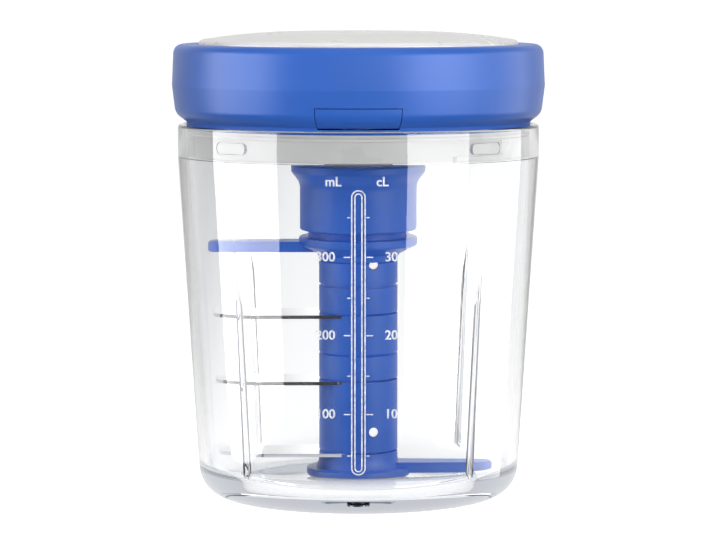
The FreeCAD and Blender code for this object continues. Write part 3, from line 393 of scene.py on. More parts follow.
def settle(piece: Piece) -> Piece:
    """Apply a piece's place, turn and scale to its mesh.

    Args:
        piece: The object to settle.

    Returns:
        The same object.
    """
    activate(piece)
    bpy.ops.object.transform_apply(location=True, rotation=True, scale=True)
    return piece


def fit(piece: Piece, body: str, finish: Material, nodes: Sequence[str]) -> None:
    """Dress a finished piece and hang it on its body in place of its CAD nodes.

    Args:
        piece: The finished object.
        body: The body that it rides on.
        finish: The piece's material.
        nodes: The CAD nodes that it stands for.
    """
    piece.data.materials.clear()
    piece.data.materials.append(finish)
    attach(piece, body)
    if nodes:
        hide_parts(*nodes)
    LOG.info("%s rides on %s, %d faces", piece.name, body, len(piece.data.polygons))


def dress(node: str, finish: Material) -> None:
    """Give a carried-over CAD node its material.

    Args:
        node: The node's name.
        finish: The material.
    """
    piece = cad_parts[node]
    piece.data.materials.clear()
    piece.data.materials.append(finish)
    LOG.info("%s keeps its own shape", node)


# Shader nodes


def feed(node: Node, inputs: Inputs) -> None:
    """Give a node's inputs their numbers, colours or links.

    Args:
        node: The node.
        inputs: A number, a colour or another node's output for each input, by name or place.
    """
    for key, value in inputs.items():
        if isinstance(value, Socket):
            node.id_data.links.new(value, node.inputs[key])
        else:
            node.inputs[key].default_value = value


def add_node(tree: Tree, kind: str, inputs: Inputs, **settings: object) -> Node:
    """Add a node to a tree.

    Args:
        tree: The node tree.
        kind: The node's type, without its first word.
        inputs: What its inputs hold, as in feed.
        settings: The node's own properties.

    Returns:
        The new node.
    """
    node = tree.nodes.new("ShaderNode" + kind)
    for label, value in settings.items():
        setattr(node, label, value)
    feed(node, inputs)
    return node


def new_group(name: str, numbers: dict[str, float], results: Sequence[str]) -> Tree:
    """Make an empty node group that takes a place and some numbers.

    Args:
        name: The group's name.
        numbers: The default of each number that it takes.
        results: The name of each number that it gives.

    Returns:
        The node group, with a group input and a group output node.
    """
    group = bpy.data.node_groups.new(name, "ShaderNodeTree")
    group.interface.new_socket("Vector", in_out="INPUT", socket_type="NodeSocketVector")
    for label, default in numbers.items():
        socket = group.interface.new_socket(label, in_out="INPUT", socket_type="NodeSocketFloat")
        socket.default_value = default
    for label in results:
        group.interface.new_socket(label, in_out="OUTPUT", socket_type="NodeSocketFloat")
    group.nodes.new("NodeGroupInput")
    group.nodes.new("NodeGroupOutput")
    return group


@cache
def moulded_grain() -> Tree:
    """Build the group that turns a place into the soft mask and the fine height of moulded plastic."""
    group = new_group("MouldedGrain", {"Patch Scale": 60, "Grain Scale": 2600}, ("Mask", "Height"))
    source = group.nodes["Group Input"].outputs
    for result, scale, detail in (("Mask", "Patch Scale", 3), ("Height", "Grain Scale", 2)):
        noise = add_node(group, "TexNoise", {"Vector": source["Vector"], "Scale": source[scale],
                                             "Detail": detail})
        feed(group.nodes["Group Output"], {result: noise.outputs["Fac"]})
    return group


@cache
def fine_scratches() -> Tree:
    """Build the group that turns a place into long fine lines along X, as grinding and wiping leave."""
    group = new_group("FineScratches", {"Line Scale": 900, "Sharpness": 0.2}, ("Lines",))
    source = group.nodes["Group Input"].outputs
    stretch = add_node(group, "VectorMath", {0: source["Vector"], 1: (0.02, 1.0, 1.0)}, operation="MULTIPLY")
    noise = add_node(group, "TexNoise", {"Vector": stretch.outputs["Vector"], "Scale": source["Line Scale"],
                                         "Detail": 4})
    low, high = (add_node(group, "Math", {0: 0.5, 1: source["Sharpness"]}, operation=operation)
                 for operation in ("SUBTRACT", "ADD"))
    lines = add_node(group, "MapRange", {"Value": noise.outputs["Fac"], "From Min": low.outputs["Value"],
                                         "From Max": high.outputs["Value"]})
    feed(group.nodes["Group Output"], {"Lines": lines.outputs["Result"]})
    return group


def start_material(name: str) -> tuple[Material, Node, Socket]:
    """Make a node material with a Principled BSDF and object coordinates.

    Args:
        name: The material's name.

    Returns:
        The material, its Principled node and the place on the object.
    """
    material = bpy.data.materials.new(name)
    material.use_nodes = True
    tree = material.node_tree
    return material, tree.nodes["Principled BSDF"], add_node(tree, "TexCoord", {}).outputs["Object"]


def grain_at(place: Socket, patch_scale: float,
             grain_scale: float) -> tuple[Socket, Socket]:
    """Add the grain of moulded plastic.

    Args:
        place: The place on the object.
        patch_scale: The scale of its soft patches.
        grain_scale: The scale of its fine height.

    Returns:
        The sockets of the mask and the height.
    """
    grain = add_node(place.id_data, "Group", {"Vector": place, "Patch Scale": patch_scale,
                                              "Grain Scale": grain_scale}, node_tree=moulded_grain())
    return grain.outputs["Mask"], grain.outputs["Height"]


def bump(shader: Node, height: Socket, strength: float, depth: float) -> None:
    """Raise a shader's surface by a height.

    Args:
        shader: The shader.
        height: The height's socket.
        strength: The bump's strength.
        depth: The bump's depth in millimetres.
    """
    raised = add_node(shader.id_data, "Bump", {"Strength": strength, "Distance": depth * MM,
                                               "Height": height})
    feed(shader, {"Normal": raised.outputs["Normal"]})


def blend_colour(mask: Socket, first: Colour, second: Colour) -> Socket:
    """Mix two colours by a mask.

    Args:
        mask: The socket that mixes them.
        first: The colour where the mask is 0.
        second: The colour where the mask is 1.

    Returns:
        The mixed colour's socket.
    """
    mix = add_node(mask.id_data, "Mix", {0: mask, 6: (*first, 1), 7: (*second, 1)}, data_type="RGBA")
    return mix.outputs[2]


def ramp(value: Socket, span: Pair, result: Pair,
         easing: str = "SMOOTHSTEP") -> Socket:
    """Map a value from one range onto another.

    Args:
        value: The value's socket.
        span: The value's range.
        result: What the two ends of the range give.
        easing: The node's way between the two ends.

    Returns:
        The result's socket.
    """
    node = add_node(value.id_data, "MapRange", {
        "Value": value, "From Min": span[0], "From Max": span[1], "To Min": result[0], "To Max": result[1]},
        interpolation_type=easing)
    return node.outputs["Result"]


def spread(mask: Socket, low: float, high: float) -> Socket:
    """Map a mask that keeps near one half onto a range of values.

    Args:
        mask: A mask from 0 to 1.
        low: The value at the mask's low side.
        high: The value at its high side.

    Returns:
        The value's socket.
    """
    return ramp(mask, (0.3, 0.7), (low, high), "LINEAR")


def reckon(operation: str, first: Socket,
           second: Socket | float) -> Socket:
    """Join two values by one sum.

    Args:
        operation: The Math node's operation.
        first: The first value's socket.
        second: The second value's socket, or a number.

    Returns:
        The result's socket.
    """
    return add_node(first.id_data, "Math", {0: first, 1: second}, operation=operation).outputs["Value"]


def show_mix(factor: Socket, first: Node, second: Node) -> None:
    """Show two shaders mixed by a factor.

    Args:
        factor: The factor's socket.
        first: The shader where it is 0.
        second: The shader where it is 1.
    """
    tree = factor.id_data
    mix = add_node(tree, "MixShader", {"Fac": factor, 1: first.outputs[0], 2: second.outputs[0]})
    feed(tree.nodes["Material Output"], {"Surface": mix.outputs["Shader"]})


@dataclass(frozen=True)
class MouldedPlastic:
    """Opaque moulded plastic with a fine grain and soft patches of sheen."""

    name: str
    colour: Colour
    deep_colour: Colour
    roughness: float
    roughness_spread: float
    grain_depth: float
    gloss: float = 0.5

    def material(self) -> Material:
        """Build the material."""
        material, shader, place = start_material(self.name)
        mask, height = grain_at(place, 60, 2600)
        feed(shader, {"Base Color": blend_colour(mask, self.deep_colour, self.colour),
                      "Roughness": spread(mask, self.roughness - self.roughness_spread,
                                          self.roughness + self.roughness_spread),
                      "Specular IOR Level": self.gloss})
        bump(shader, height, 0.6, self.grain_depth)
        return material


@dataclass(frozen=True)
class ClearPlastic:
    """Clear moulded plastic that lets shadow rays through, and rays that would wander in its thick base, which
    it passes with a grey tint of painted shade.
    """

    name: str
    tint: Colour
    roughness: float
    index: float
    deepest: float = 6.5
    base_height: float = 9.0
    base_depth: float = 3.0
    early_tint: Colour = (0.99, 0.992, 0.995)
    late_shade_tint: Colour = (0.60, 0.625, 0.67)

    def material(self) -> Material:
        """Build the material."""
        material, shader, place = start_material(self.name)
        tree = material.node_tree
        mask, height = grain_at(place, 45, 140)
        feed(shader, {"Base Color": (*self.tint, 1), "Transmission Weight": 1.0, "IOR": self.index,
                      "Roughness": spread(mask, 0.0, self.roughness)})
        bump(shader, height, 0.15, 0.02)
        light = add_node(tree, "LightPath", {}).outputs
        up = add_node(tree, "SeparateXYZ", {"Vector": place}).outputs["Z"]
        # The base below base_height counts as deeper, so it turns grey sooner: painted shade, darker towards the
        # bottom.
        extra = reckon("MULTIPLY", reckon("LESS_THAN", up, self.base_height * MM), self.base_depth)
        late = reckon("GREATER_THAN", reckon("ADD", light["Ray Depth"], extra), self.deepest)
        # Late rays pass with a grey tint: painted shade in place of the light that refraction would bring.
        tint = blend_colour(late, self.early_tint, self.late_shade_tint)
        through = add_node(tree, "BsdfTransparent", {"Color": tint})
        show_mix(reckon("MAXIMUM", late, light["Is Shadow Ray"]), shader, through)
        return material


@dataclass(frozen=True)
class GroundSteel:
    """Stainless steel with grinding lines along X."""

    name: str
    colour: Colour
    dark_colour: Colour
    roughness: float
    line_scale: float
    groove: float = 0.01

    def material(self) -> Material:
        """Build the material."""
        material, shader, place = start_material(self.name)
        lines = add_node(material.node_tree, "Group", {"Vector": place, "Line Scale": self.line_scale,
                                                       "Sharpness": 0.25}, node_tree=fine_scratches())
        mask = lines.outputs["Lines"]
        feed(shader, {"Metallic": 1.0, "Base Color": blend_colour(mask, self.dark_colour, self.colour),
                      "Roughness": spread(mask, self.roughness * 1.3, self.roughness * 0.8)})
        bump(shader, mask, 0.25, self.groove)
        return material


@dataclass(frozen=True)
class BraidedCord:
    """Braided cord: a crossed weave drawn by two sets of slanting waves, with painted shade, a darker colour, in
    the low parts between the strands.
    """

    name: str
    colour: Colour
    shade: Colour
    pitch: float

    def material(self) -> Material:
        """Build the material."""
        material, shader, place = start_material(self.name)
        tree = material.node_tree
        waves = []
        for lean in (1, -1):
            turn = add_node(tree, "Mapping", {"Vector": place,
                                              "Rotation": (0.6 * lean, 0.5 * lean, 0.78 * lean)})
            wave = add_node(tree, "TexWave", {"Vector": turn.outputs["Vector"],
                                              "Scale": 1 / (self.pitch * MM) / 20})
            waves.append(wave.outputs["Fac"])
        weave = reckon("MAXIMUM", *waves)
        # Where the waves are low the shade colour is painted shade between the strands.
        feed(shader, {"Roughness": 0.8, "Sheen Weight": 0.3,
                      "Base Color": blend_colour(weave, self.shade, self.colour)})
        bump(shader, weave, 0.8, 0.1)
        return material


@dataclass(frozen=True)
class FrostedMark:
    """Raised marks in the clear wall: frosted, so that they scatter some light and pass the rest."""

    name: str
    colour: Colour
    cover: float
    cover_spread: float = 0.25

    def material(self) -> Material:
        """Build the material."""
        material, shader, place = start_material(self.name)
        feed(shader, {"Base Color": (*self.colour, 1), "Roughness": 0.5})
        mask, _ = grain_at(place, 900, 3000)
        cover = spread(mask, self.cover - self.cover_spread, min(1.0, self.cover + self.cover_spread))
        show_mix(cover, add_node(material.node_tree, "BsdfTransparent", {}), shader)
        return material


@dataclass(frozen=True)
class Finishes:
    """Every finish of the chopper, each built once."""

    blue: Material
    spindle_blue_brightened: Material
    clear: Material
    pale: Material
    mark: Material
    acetal: Material
    silicone: Material
    blade: Material
    steel: Material
    cord: Material


def make_finishes() -> Finishes:
    """Build the finishes.

    Returns:
        The finishes by name.
    """
    return Finishes(
        blue=MouldedPlastic("blue_satin", (0.022, 0.110, 0.475), (0.020, 0.100, 0.435), 0.36, 0.04,
                            0.012, gloss=0.28).material(),
        # painted light: the spindle's blue is a brighter copy of blue_satin, lifted to make up for the light the
        # lid keeps off the spindle
        spindle_blue_brightened=MouldedPlastic("spindle_blue_brightened", (0.034, 0.152, 0.680), (0.030, 0.138, 0.630), 0.32, 0.04,
                                    0.012, gloss=0.4).material(),
        clear=ClearPlastic("clear_bowl", (0.985, 0.99, 0.995), 0.02, 1.49).material(),
        pale=MouldedPlastic("pale_plastic", (0.74, 0.735, 0.72), (0.70, 0.695, 0.68), 0.30, 0.05,
                            0.001).material(),
        mark=FrostedMark("raised_marks", (0.90, 0.93, 0.97), 0.68).material(),
        acetal=MouldedPlastic("acetal", (0.84, 0.84, 0.82), (0.80, 0.80, 0.78), 0.42, 0.05,
                              0.01).material(),
        silicone=MouldedPlastic("silicone_seal", (0.74, 0.74, 0.72), (0.70, 0.70, 0.68), 0.55, 0.05,
                                0.01).material(),
        blade=GroundSteel("blade_steel", (0.95, 0.95, 0.95), (0.90, 0.90, 0.91), 0.06, 1400,
                          0.001).material(),
        steel=GroundSteel("turned_steel", (0.66, 0.67, 0.68), (0.50, 0.51, 0.52), 0.3, 2200).material(),
        # The cord's second, darker colour is painted shade between its strands.
        cord=BraidedCord("braided_cord", (0.82, 0.82, 0.80), (0.55, 0.55, 0.53), 0.7).material(),
    )


# The bowl


@dataclass
class Bowl:
    """The clear bowl with its ribs, lugs and raised scale."""

    top_radius: float = 47.3
    bottom_radius: float = 41.5
    wall: float = 2.5
    corner_round: float = 8.4
    inner_round: float = 6.0
    floor_height: float = 4.8
    recess_height: float = 2.2
    foot_inner_radius: float = 30.5
    ledge_height: float = 89.6
    ledge_width: float = 0.5
    rim_height: float = 98.0
    rim_round: float = 0.7
    boss_radius: float = 6.5
    boss_height: float = 5.6
    pin_hole_radius: float = 2.03
    pin_hole_depth: float = 2.0
    rib_depth: float = 1.25
    rib_width: float = 1.7
    rib_low: float = 8.4
    rib_top: float = 62.0
    rib_point: float = 9.0
    lug_width: float = 10.0
    lug_height: float = 3.0
    lug_low: float = 91.6
    lug_reach: float = 1.4
    lug_azimuths: tuple[float, ...] = (45, 135, 225, 315)
    bite: float = 0.6
    gauge_low: float = 11.1
    gauge_high: float = 83.5
    gauge_width: float = 3.7
    gauge_line: float = 0.34
    gauge_inner_width: float = 2.1
    tick_line: float = 0.3
    tick_gap: float = 0.15
    gauge_proud: float = 0.16
    tick_heights: tuple[float, ...] = (16.1, 26.7, 36.5, 46.8, 56.3, 66.6, 76.6)
    tick_length: float = 1.7
    short_tick_length: float = 0.8
    text_height: float = 3.3
    text_spread: float = 0.05
    numeral_place: float = 8.3
    unit_places: tuple[float, float] = (-6.3, 6.0)
    unit_height: float = 85.5

    def outer(self, height: float) -> float:
        """Return the wall's outer radius at a height."""
        return self.bottom_radius + (self.top_radius - self.bottom_radius) * height / self.ledge_height

    def profile(self) -> list[Corner]:
        """Return the wall's section as (radius, height, round) corners."""
        bore = self.top_radius - self.wall
        rim_bore = bore + self.ledge_width
        pin_floor = self.boss_height - self.pin_hole_depth
        return [
            (0, self.recess_height),
            (self.foot_inner_radius, self.recess_height, 0.8),
            (self.foot_inner_radius + 0.9, 0, 0.5),
            (self.bottom_radius, 0, self.corner_round),
            (self.top_radius, self.ledge_height),
            (self.top_radius, self.rim_height, self.rim_round),
            (rim_bore, self.rim_height, self.rim_round),
            (rim_bore, self.ledge_height, 0.15),
            (bore, self.ledge_height, 0.12),
            (self.outer(self.floor_height) - self.wall, self.floor_height, self.inner_round),
            (self.boss_radius, self.floor_height, 0.3),
            (self.boss_radius, self.boss_height, 0.4),
            (self.pin_hole_radius, self.boss_height),
            (self.pin_hole_radius, pin_floor),
            (0, pin_floor),
        ]

    def rib(self) -> Piece:
        """Build one pouring rib at azimuth 0, pointed at its top."""
        low_wall, shoulder, top_wall = (self.outer(height) - self.wall for height in (
            self.rib_low, self.rib_top - self.rib_point, self.rib_top))
        side = [
            Vector((low_wall + self.bite, 0, self.rib_low)),
            Vector((top_wall + self.bite, 0, self.rib_top)),
            Vector((top_wall - 0.02, 0, self.rib_top)),
            Vector((shoulder - self.rib_depth, 0, self.rib_top - self.rib_point)),
            Vector((low_wall - self.rib_depth, 0, self.rib_low + 1.5)),
            Vector((low_wall - self.rib_depth * 0.4, 0, self.rib_low)),
        ]
        half = Vector((0, self.rib_width / 2, 0))
        piece = trace("rib", [point - half for point in side])
        bpy.ops.mesh.edge_face_add()
        bpy.ops.mesh.extrude_region_move(TRANSFORM_OT_translate={"value": half * 2 * MM})
        close_up(piece)
        select_where(piece, "VERT", lambda vertex: vertex.co.z > self.rib_top * MM - 1e-6)
        bpy.ops.transform.resize(value=(1, 0.12, 1), center_override=(0, 0, 0))
        close_up(piece)
        inner = shoulder - self.rib_depth * 0.5
        bevel_edges(piece, lambda a, b: a.x < inner and b.x < inner and abs(a.y - b.y) < 0.01
                    and abs(a.z - b.z) > 1, 0.55, 4)
        return piece

    def lug(self) -> Piece:
        """Build one bayonet lug at azimuth 0, on the rim's bore."""
        outer = self.top_radius - self.wall + self.ledge_width + self.bite
        inner = outer - self.bite - self.lug_reach
        piece = block("lug", ((inner + outer) / 2, 0, self.lug_low + self.lug_height / 2),
                      (outer - inner, self.lug_width, self.lug_height))
        bevel_edges(piece, lambda a, b: abs(a.x - b.x) > 0.5, 1.2, 5)
        bevel_edges(piece, lambda a, b: abs(a.x - inner) < 0.01 and abs(b.x - inner) < 0.01, 0.3, 2)
        return piece

    def on_wall(self, piece: Piece) -> Piece:
        """Wrap a flat piece onto the front of the tapered wall.

        Args:
            piece: A mesh drawn with X across, Z up and Y as its depth, -Y towards the viewer.

        Returns:
            The same object, with every point laid on the wall.
        """
        for vertex in piece.data.vertices:
            across, depth, height = vertex.co / MM
            radius = self.outer(height) - depth
            angle = across / self.outer(height)
            vertex.co = Vector((math.sin(angle) * radius, -math.cos(angle) * radius, height)) * MM
        return piece

    def outline_band(self, name: str, half: float, inset: float) -> Piece:
        """Build one raised line of the gauge, a long loop with round ends.

        Args:
            name: The piece's name.
            half: Half the loop's outer width.
            inset: How far its ends are inside the gauge's ends.

        Returns:
            The loop, laid on the wall.
        """
        deselect()
        bpy.ops.mesh.primitive_torus_add(major_radius=(half - self.gauge_line / 2) * MM,
                                         minor_radius=self.gauge_line / 2 * MM, major_segments=48,
                                         minor_segments=10, rotation=(math.radians(90), 0, 0))
        piece = settle(bpy.context.object)
        piece.name = name
        edit(piece)
        bpy.ops.mesh.bisect(plane_co=(0, 0, 0), plane_no=(0, 0, 1))
        bpy.ops.object.mode_set(mode="OBJECT")
        top = self.gauge_high - inset - half
        bottom = self.gauge_low + inset + half
        for vertex in piece.data.vertices:
            vertex.co.z += (top if vertex.co.z > 1e-7 else bottom) * MM
            vertex.co.y *= 2 * self.gauge_proud / self.gauge_line
        return self.on_wall(divide_long(piece, 5, 8))

    def tick(self, height: float, side: Mark, length: float) -> Piece:
        """Build one scale mark beside the gauge.

        Args:
            height: The mark's height.
            side: The side of the gauge.
            length: The mark's length.

        Returns:
            The mark, laid on the wall.
        """
        centre = side.value * (self.gauge_width / 2 + self.tick_gap + length / 2)
        piece = block("tick", (centre, 0, height), (length, self.gauge_proud * 2, self.tick_line))
        bevel_edges(piece, lambda a, b: min(a.y, b.y) < 0, 0.09, 2)
        return self.on_wall(piece)

    def words(self, text: str, centre: float, height: float) -> Piece:
        """Build raised numerals or a unit sign.

        Args:
            text: What to write.
            centre: The middle of the text, across the front.
            height: The middle of the text, up the wall.

        Returns:
            The text as a mesh, laid on the wall.
        """
        deselect()
        bpy.ops.object.text_add(location=(centre * MM, 0, height * MM), rotation=(math.radians(90), 0, 0))
        piece = bpy.context.object
        piece.data.body = text
        piece.data.align_x = "CENTER"
        piece.data.align_y = "CENTER"
        piece.data.size = self.text_height * MM
        piece.data.extrude = self.gauge_proud * MM
        piece.data.offset = self.text_spread * MM
        piece.data.resolution_u = 6
        bpy.ops.object.convert(target="MESH")
        piece = settle(bpy.context.object)
        edit(piece)
        bpy.ops.mesh.select_all(action="SELECT")
        bpy.ops.mesh.remove_doubles(threshold=1e-7)
        bpy.ops.object.mode_set(mode="OBJECT")
        return self.on_wall(piece)

    def scale_marks(self) -> Piece:
        """Build the whole raised scale as one piece."""
        parts = [
            self.outline_band("gauge_outer", self.gauge_width / 2, 0),
            self.outline_band("gauge_inner", self.gauge_inner_width / 2,
                              (self.gauge_width - self.gauge_inner_width) / 2),
        ]
        for index, height in enumerate(self.tick_heights):
            length = self.tick_length if index % 2 else self.short_tick_length
            parts += [self.tick(height, side, length) for side in Mark]
        for count, height in enumerate(self.tick_heights[1::2], 1):
            for side, unit in ((Mark.MILLILITRES, 100), (Mark.CENTILITRES, 10)):
                parts.append(self.words(str(unit * count), side.value * self.numeral_place, height))
        for unit, place in zip(("mL", "cL"), self.unit_places):
            parts.append(self.words(unit, place, self.unit_height))
        deselect()
        for part in parts:
            part.select_set(True)
        bpy.context.view_layer.objects.active = parts[0]
        bpy.ops.object.join()
        piece = bpy.context.object
        piece.name = "scale_marks"
        return piece

    def build(self, finishes: Finishes) -> None:
        """Build the bowl and its scale, and dress its pin."""
        bowl = lathe("bowl_shell", self.profile(), 192, arc_step=6)
        around(bowl, [self.rib(), self.lug()], Join.ADD, self.lug_azimuths)
        fit(bowl, "bowl", finishes.clear, ["bowl"])
        fit(self.scale_marks(), "bowl", finishes.mark, [])
        dress("pivot_pin", finishes.steel)


# The spindle


@dataclass
class Spindle:
    """The stack that turns in the bowl: foot, sleeves, blades, arms and drive socket."""

    shaft_radius: float = 10.35
    joint_bevel: float = 0.35
    lip_bore: float = 9.45
    stem_side: float = 8.4
    stem_top: float = 72.0
    foot_low: float = 5.5
    foot_flange_radius: float = 13.6
    foot_flange_high: float = 7.6
    foot_high: float = 11.2
    bush_radius: float = 3.71
    bush_top: float = 14.8
    pin_bore: float = 2.08
    bore_top: float = 21.0
    arm_thickness: float = 2.7
    blade_thickness: float = 0.9
    blade_lows: tuple[float, float, float] = (11.2, 29.9, 47.1)
    blade_reaches: tuple[float, float, float] = (37.6, 38.4, 39.0)
    blade_front: float = 9.3
    blade_names: tuple[str, str, str] = ("blade_lower", "blade_middle", "blade_upper")
    spacer_joint: float = 37.5
    collar_low: float = 61.6
    collar_step: float = 65.5
    collar_high: float = 67.6
    collar_radius: float = 15.6
    drain_radius: float = 1.2
    drain_offset: float = 4.0
    drains: tuple[tuple[float, float], ...] = ((17.8, 7.5), (60.9, 5.0))

    def square_bar(self, low: float, high: float, play: float = 0.06) -> Piece:
        """Build a square bar along Z: the stem, or with its play the cutter of the holes on it."""
        half = (self.stem_side + play) / 2
        signs = ((-1, -1), (1, -1), (1, 1), (-1, 1))
        corners = [(half * across, half * along, 0.6) for across, along in signs]
        return slab("square", corners, low, high - low)

    def drain_cutter(self, height: float, slope: float) -> Piece:
        """Build the round bar that drills a drain hole, sloping down to the back so that it empties.

        Args:
            height: The hole's height at the front of the shaft.
            slope: Its slope in degrees.

        Returns:
            The cutter.
        """
        middle = height - math.tan(math.radians(slope)) * self.shaft_radius
        return bar(self.drain_radius, 60, (self.drain_offset, 0, middle), 90 - slope, 40)

    def lip(self, piece: Piece, high: float) -> None:
        """Add the lip that hides a blade's hub, with a slot where the blade passes.

        Args:
            piece: The sleeve or foot under the blade.
            high: Height of its end, where the blade lies.
        """
        top = high + self.blade_thickness - 0.12
        low = high - 0.5
        ring = lathe("lip", [(self.lip_bore, low), (self.shaft_radius, low), (self.shaft_radius, top, 0.2),
                             (self.lip_bore, top)], 96)
        half = self.blade_front + 0.06
        slot = slab("slot", [(-12, -half), (0, -half), (0, half), (-12, half)], high + 0.001, 2)
        combine(ring, slot, Join.CUT)
        combine(piece, ring, Join.ADD)

    def sleeve(self, name: str, low: float, high: float, lipped: bool = False) -> Piece:
        """Build one sleeve of the shaft with eased ends and the stem's square hole."""
        edge = self.joint_bevel
        piece = lathe(name, [
            (0, low), (self.shaft_radius - edge, low), (self.shaft_radius, low + edge, 0.25),
            (self.shaft_radius, high - edge, 0.25), (self.shaft_radius - edge, high), (0, high)], 96)
        if lipped:
            self.lip(piece, high)
        combine(piece, self.square_bar(low - 1, high + 1), Join.CUT)
        return piece

    def arm(self, name: str, low: float, reach: float, side: int) -> Piece:
        """Build a flat mixing arm with a round end.

        Args:
            name: The piece's name.
            low: Height of its underside.
            reach: How far its tip is from the axis.
            side: -1 to point left and 1 to point right.

        Returns:
            The arm.
        """
        corners: list[Corner] = [
            (6 * side, -4.5), (reach * side, -3.24, 2.97), (reach * side, 3.24, 2.97), (6 * side, 4.5)]
        piece = slab(name, corners, low, self.arm_thickness)
        edges = (low, low + self.arm_thickness)
        bevel_edges(piece, lambda a, b: any(abs(a.z - z) < 0.01 and abs(b.z - z) < 0.01 for z in edges)
                    and (abs(a.y - b.y) > 0.001 or abs(a.x - b.x) > 0.001) and abs(a.x) > 6.5, 0.55, 4)
        return piece

    def bore(self) -> Piece:
        """Build the cutter of the foot's bore, for the bush and the pin above it."""
        return lathe("bore", [(0, 4), (self.bush_radius, 4), (self.bush_radius, self.bush_top),
                              (self.pin_bore, self.bush_top), (self.pin_bore, self.bore_top),
                              (0, self.bore_top)], 48)

    def foot(self) -> Piece:
        """Build the foot with its lower arm and the square stem."""
        hole = self.bush_radius
        rim = self.foot_flange_radius
        piece = lathe("spindle_foot", [
            (hole, self.foot_low + 0.4), (7.2, self.foot_low + 0.4), (7.2, self.foot_low),
            (rim, self.foot_low, 0.7), (rim, self.foot_flange_high, 0.4),
            (self.shaft_radius + 0.95, self.foot_flange_high, 0.3),
            (self.shaft_radius, self.foot_flange_high + 1.5, 5.0),
            (self.shaft_radius, self.foot_high - self.joint_bevel, 0.25),
            (self.shaft_radius - self.joint_bevel, self.foot_high), (hole, self.foot_high)], 96)
        combine(piece, self.arm("lower_arm", 6.4, 35.4, 1), Join.ADD)
        self.lip(piece, self.foot_high)
        stem = self.square_bar(self.foot_high - 1, self.stem_top, 0)
        combine(stem, self.bore(), Join.CUT)
        combine(piece, stem, Join.ADD)
        combine(piece, self.bore(), Join.CUT)
        for drain in self.drains:
            combine(piece, self.drain_cutter(*drain), Join.CUT)
        return piece

    def blade(self, name: str, low: float, reach: float) -> Piece:
        """Build one swept blade with a ground edge and a clamped hub."""
        front = self.blade_front
        piece = slab(name + "_steel", [
            (0, front), (-reach * 0.80, 6.6, 30), (-reach, 3.4, 1.0), (-reach * 0.97, -front * 0.42, 5.0),
            (-reach * 0.74, -front, 12), (0, -front)], low, self.blade_thickness, 6)
        top = low + self.blade_thickness
        bevel_edges(piece, lambda a, b: abs(a.z - low) < 0.01 and abs(b.z - low) < 0.01
                    and (a.y + b.y) / 2 < -front * 0.3 and (a.x + b.x) / 2 < -1, 0.45, 1)
        hub = lathe("hub", [(0, low), (9.4, low), (9.4, top), (0, top)], 64)
        combine(piece, hub, Join.ADD)
        combine(piece, self.square_bar(low - 1, top + 1), Join.CUT)
        return piece

    def collar(self) -> Piece:
        """Build the collar that carries the upper arm."""
        piece = lathe("spindle_collar", [
            (0, self.collar_low), (self.shaft_radius, self.collar_low),
            (self.shaft_radius, self.collar_low + 1.4, 2.2),
            (self.collar_radius, self.collar_step, 0.7), (self.collar_radius, self.collar_high, 0.4),
            (0, self.collar_high)], 96)
        combine(piece, self.arm("upper_arm", 63.8, 39.8, -1), Join.ADD)
        combine(piece, self.square_bar(60, 69), Join.CUT)
        return piece

    def socket(self) -> Piece:
        """Build the flared drive socket with its three dogs."""
        piece = lathe("spindle_socket", [
            (0, self.collar_high), (13.2, self.collar_high), (13.2, 69.4, 0.2), (15.4, 69.4, 0.5),
            (15.4, 81.5, 4), (17.7, 84.4, 1.2), (17.7, 86.5, 0.5), (12.6, 86.5, 0.9), (12.6, 74.0, 0.5),
            (0, 74.0)], 128)
        for azimuth in (30, 150, 270):
            dog = lathe("dog", [(8.0, 73.5), (13.1, 73.5), (13.1, 80.0), (8.0, 80.0, 0.8)], 8,
                        azimuth - 12, 24)
            combine(piece, dog, Join.ADD)
        combine(piece, self.square_bar(66, self.stem_top + 0.03), Join.CUT)
        hole = lathe("hole", [(0, 70), (1.8, 70), (1.8, 75), (0, 75)], 32)
        combine(piece, hole, Join.CUT)
        return piece

    def build(self, finishes: Finishes) -> None:
        """Build the spindle and dress its hidden bush and screw."""
        tops = [low + self.blade_thickness for low in self.blade_lows]
        foot = self.foot()
        lower = self.sleeve("sleeve_lower", tops[0], self.blade_lows[1], True)
        combine(lower, self.drain_cutter(*self.drains[0]), Join.CUT)
        middle = self.sleeve("sleeve_middle", tops[1], self.spacer_joint)
        upper = self.sleeve("sleeve_upper", self.spacer_joint, self.blade_lows[2], True)
        neck = self.sleeve("sleeve_neck", tops[2], self.collar_low)
        groove = lathe("groove", [(9.85, 54.9), (12, 54.9), (12, 55.7), (9.85, 55.7)], 96)
        combine(neck, groove, Join.CUT)
        combine(neck, self.drain_cutter(*self.drains[1]), Join.CUT)
        for node, piece in (
                ("foot_stem", foot), ("lower_spacer", lower), ("middle_spacer", middle), ("upper_spacer", upper),
                ("neck_spacer", neck), ("arm_collar", self.collar()), ("drive_socket", self.socket())):
            # The foot, sleeves, collar and socket take the brightened blue, whose extra lightness is painted
            # light.
            fit(piece, "spindle", finishes.spindle_blue_brightened, [node])
        for node, low, reach in zip(self.blade_names, self.blade_lows, self.blade_reaches):
            fit(self.blade(node, low, reach), "spindle", finishes.blade, [node])
        dress("foot_bush", finishes.acetal)
        dress("stem_screw", finishes.steel)


# The lid, its drive and its handle


